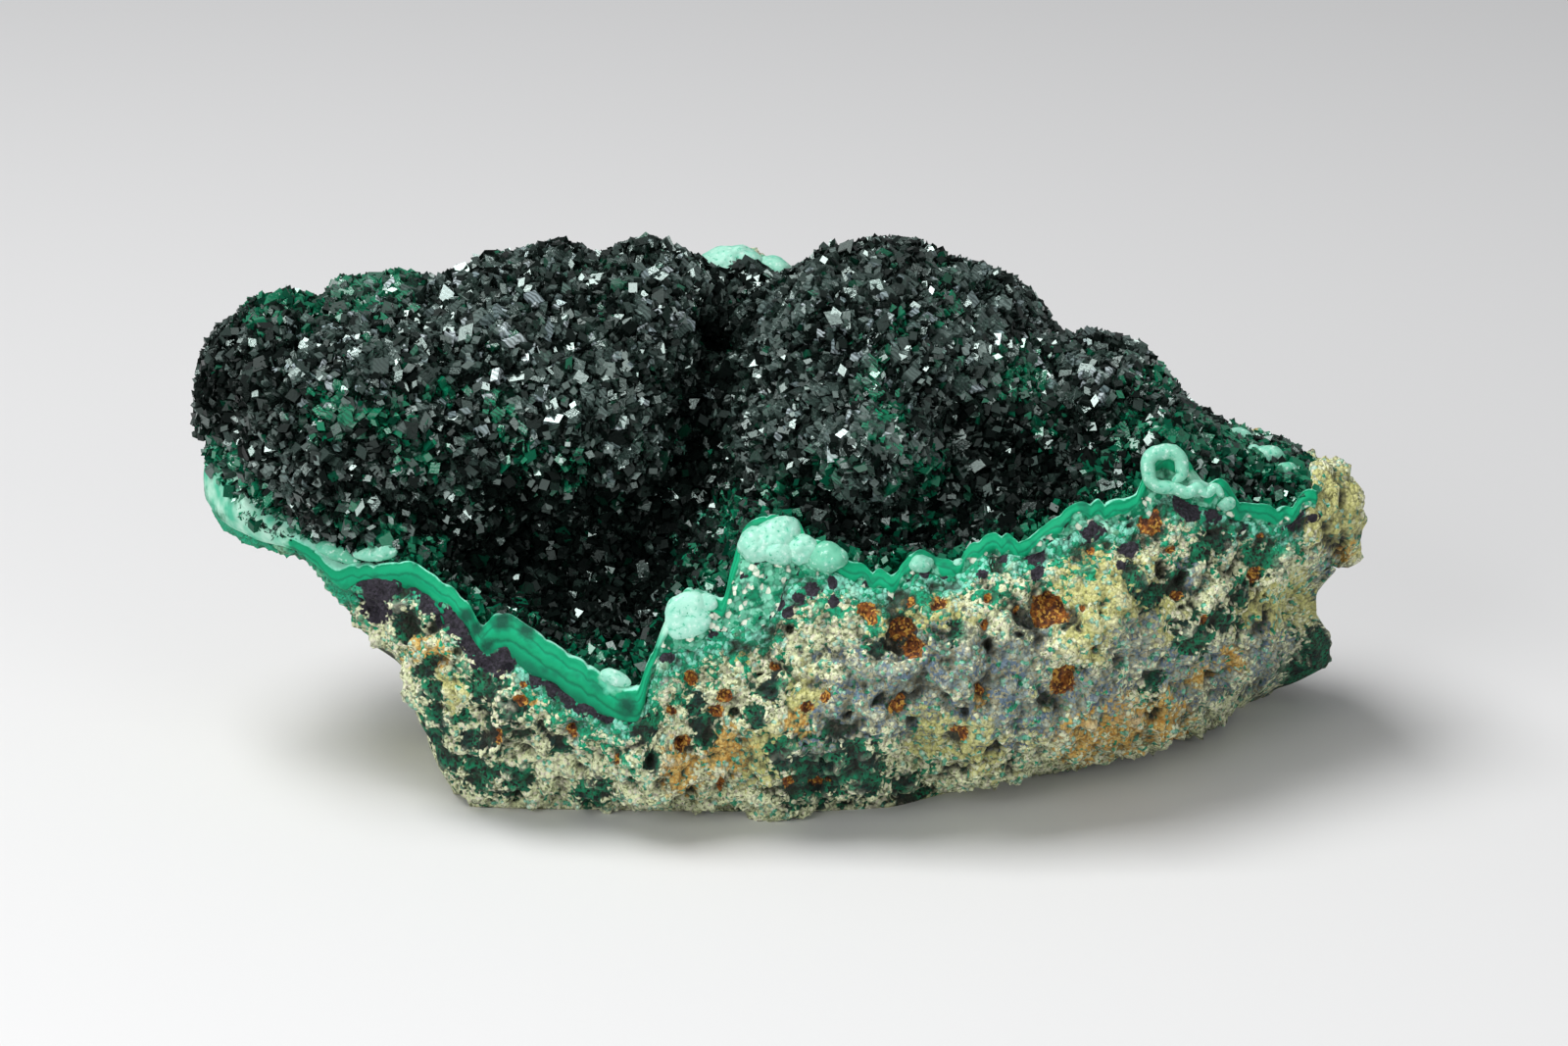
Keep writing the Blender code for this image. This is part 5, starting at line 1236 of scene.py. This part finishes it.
def drusy_crystals():
    """Glassy crystals so deep green that they look black, their flat faces glinting or dull one by
    one; some are milky grey with dark streaks across them, and some a clear green."""
    made, tree, shader, place = finish_of("drusy_crystals", 0.3, 1.9)
    shader.inputs["Specular Tint"].default_value = linear("#cfe2dc")
    shade, green = (
        node(tree, "ShaderNodeAttribute", (), "Fac", attribute_name=name) for name in ("shade", "green")
    )
    depths = node(tree, "ShaderNodeValToRGB", {0: shade})
    toned(depths.node.color_ramp, [
        (0.0, "#050807"), (0.5, "#0e1613"), (0.75, "#26342f"), (0.9, "#52625e"), (0.97, "#84949a"),
        (1.0, "#bcc8cc"),
    ])
    # A crystal is green by chance, from 1 in 25 on the dark crust to 3 in 4 at the rim
    chance = node(tree, "ShaderNodeTexWhiteNoise", {"W": shade}, "Value", noise_dimensions="1D")
    likely = node(tree, "ShaderNodeMath", {0: green, 1: 0.7, 2: 0.04}, operation="MULTIPLY_ADD")
    likely = node(tree, "ShaderNodeMath", {0: likely, 1: chance}, operation="SUBTRACT")
    # Streaks about 0.4 mm apart, bent and broken, on the paler crystals only
    waves = {"Vector": place, "Scale": 0.9, "Distortion": 5.0, "Detail": 2.0}
    waves = node(tree, "ShaderNodeTexWave", waves, "Fac", bands_direction="DIAGONAL")
    streaks = node(tree, "ShaderNodeMapRange", {0: shade, 1: 0.7, 2: 0.85, 4: 0.65})
    colour = coated(
        tree, depths,
        ((likely, 0.0, 0.05), coated(tree, "#052e22", (shade, "#128a62"))),
        ((waves, 0.55, 0.35, streaks), "#141f1c"),
    )
    # The glints: most faces polished, a few dull, and the darkest ones hardly bright at all
    dull = node(tree, "ShaderNodeMath", {0: chance, 1: chance}, operation="MULTIPLY")
    dull = node(tree, "ShaderNodeMath", {0: dull, 1: 0.4, 2: 0.05}, operation="MULTIPLY_ADD")
    bright = node(tree, "ShaderNodeMapRange", {0: shade, 1: 0.2, 2: 0.88, 3: 0.05})
    tree.links.new(dull, shader.inputs["Roughness"])
    tree.links.new(bright, shader.inputs["Specular IOR Level"])
    scratches = {"Vector": place, "Scale": 1 / 0.22, "Detail": 2.0, "Roughness": 0.55}
    scratches = node(tree, "ShaderNodeTexNoise", scratches)
    dressed(tree, shader, colour, scratches, 0.22, 0.1)
    return made


def pale_paper():
    """Matt paper, pale under the stone, with painted shade that darkens it towards the back."""
    made, tree, shader, place = finish_of("pale_paper", 0.9, 1.45)
    depth = node(tree, "ShaderNodeSeparateXYZ", {0: place}, "Y")
    # Painted shade: the paper darkens from the front towards the back
    colour = coated(tree, "#e6e6e6", ((depth, -350.0, 900.0), "#b6b6b7"))
    tree.links.new(colour, shader.inputs["Base Color"])
    return made


def studio():
    """Pale floor, soft lights, and the camera on the photographed line of sight."""
    scene = bpy.context.scene
    mesh = bpy.data.meshes.new("floor")
    corners = [(x * FLOOR_REACH, y * FLOOR_REACH, 0) for x, y in ((-1, -1), (1, -1), (1, 1), (-1, 1))]
    mesh.from_pydata(corners, [], [(0, 1, 2, 3)])
    mesh.materials.append(pale_paper())
    floor = bpy.data.objects.new("floor", mesh)
    scene.collection.objects.link(floor)
    for name, place, aim, size, power in LIGHTS:
        lamp = bpy.data.lights.new(name, "AREA")
        lamp.shape = "RECTANGLE"
        lamp.size, lamp.size_y = size
        lamp.energy = power
        light = bpy.data.objects.new(name, lamp)
        light.location = place
        light.rotation_euler = (Vector(aim) - Vector(place)).to_track_quat("-Z", "Y").to_euler()
        scene.collection.objects.link(light)
    scene.world = bpy.data.worlds.new("studio")
    scene.world.use_nodes = True
    around = scene.world.node_tree.nodes["Background"].inputs
    around["Color"].default_value = linear("#b9babc")
    around["Strength"].default_value = WORLD_STRENGTH
    lens = bpy.data.cameras.new("camera")
    lens.sensor_width = 36.0
    lens.lens = 135.0
    lens.clip_start = 0.01
    camera = bpy.data.objects.new("camera", lens)
    camera.location = Vector(-BOX_MIDDLE * MM) + Vector((
        0.0, -SIGHT_DISTANCE * math.cos(SIGHT_TILT) * MM,
        (SIGHT_HEIGHT + SIGHT_DISTANCE * math.sin(SIGHT_TILT)) * MM,
    ))
    camera.rotation_euler = (math.pi / 2 - SIGHT_TILT, 0, 0)
    scene.collection.objects.link(camera)
    scene.camera = camera
    scene.view_settings.view_transform = "Standard"


def build():
    """Every piece, then the studio."""
    random = np.random.default_rng(SEED)
    malachite = banded_malachite()
    skin = botryoidal_skin()
    glassy = drusy_crystals()
    rock_piece(granular_matrix())
    band_piece(malachite)
    crust_bed_piece(glassy)
    druse(glassy, random)
    rim_turns = np.concatenate([np.linspace(0, 1, 12)[:-1] + TURN_BAND_FOOT,
                                np.linspace(0, 0.6, 10) + TURN_END])
    rim = outline_points(stations(0.3, LAYERS_END), rim_turns)
    crust, _ = crust_surface(*KNOB_GRID)
    cap = [(np.array(centre), CAP_OUTWARD, radii, 0.0, CAP_BUBBLES, tint)
           for centre, radii, tint in TURQUOISE_CAP]
    words = skin, "banded_malachite"
    lumps_piece("malachite_knobs", knobs_on(rim, KNOBS_ON_RIM), *words, ["malachite_band"])
    lumps_piece("skyline_knobs", knobs_on(crust, KNOBS_ON_SKYLINE), *words, ["drusy_crust"])
    lumps_piece("turquoise_cap", cap, *words, ["matrix_rock"])
    curl_piece(skin)
    studio()


build()
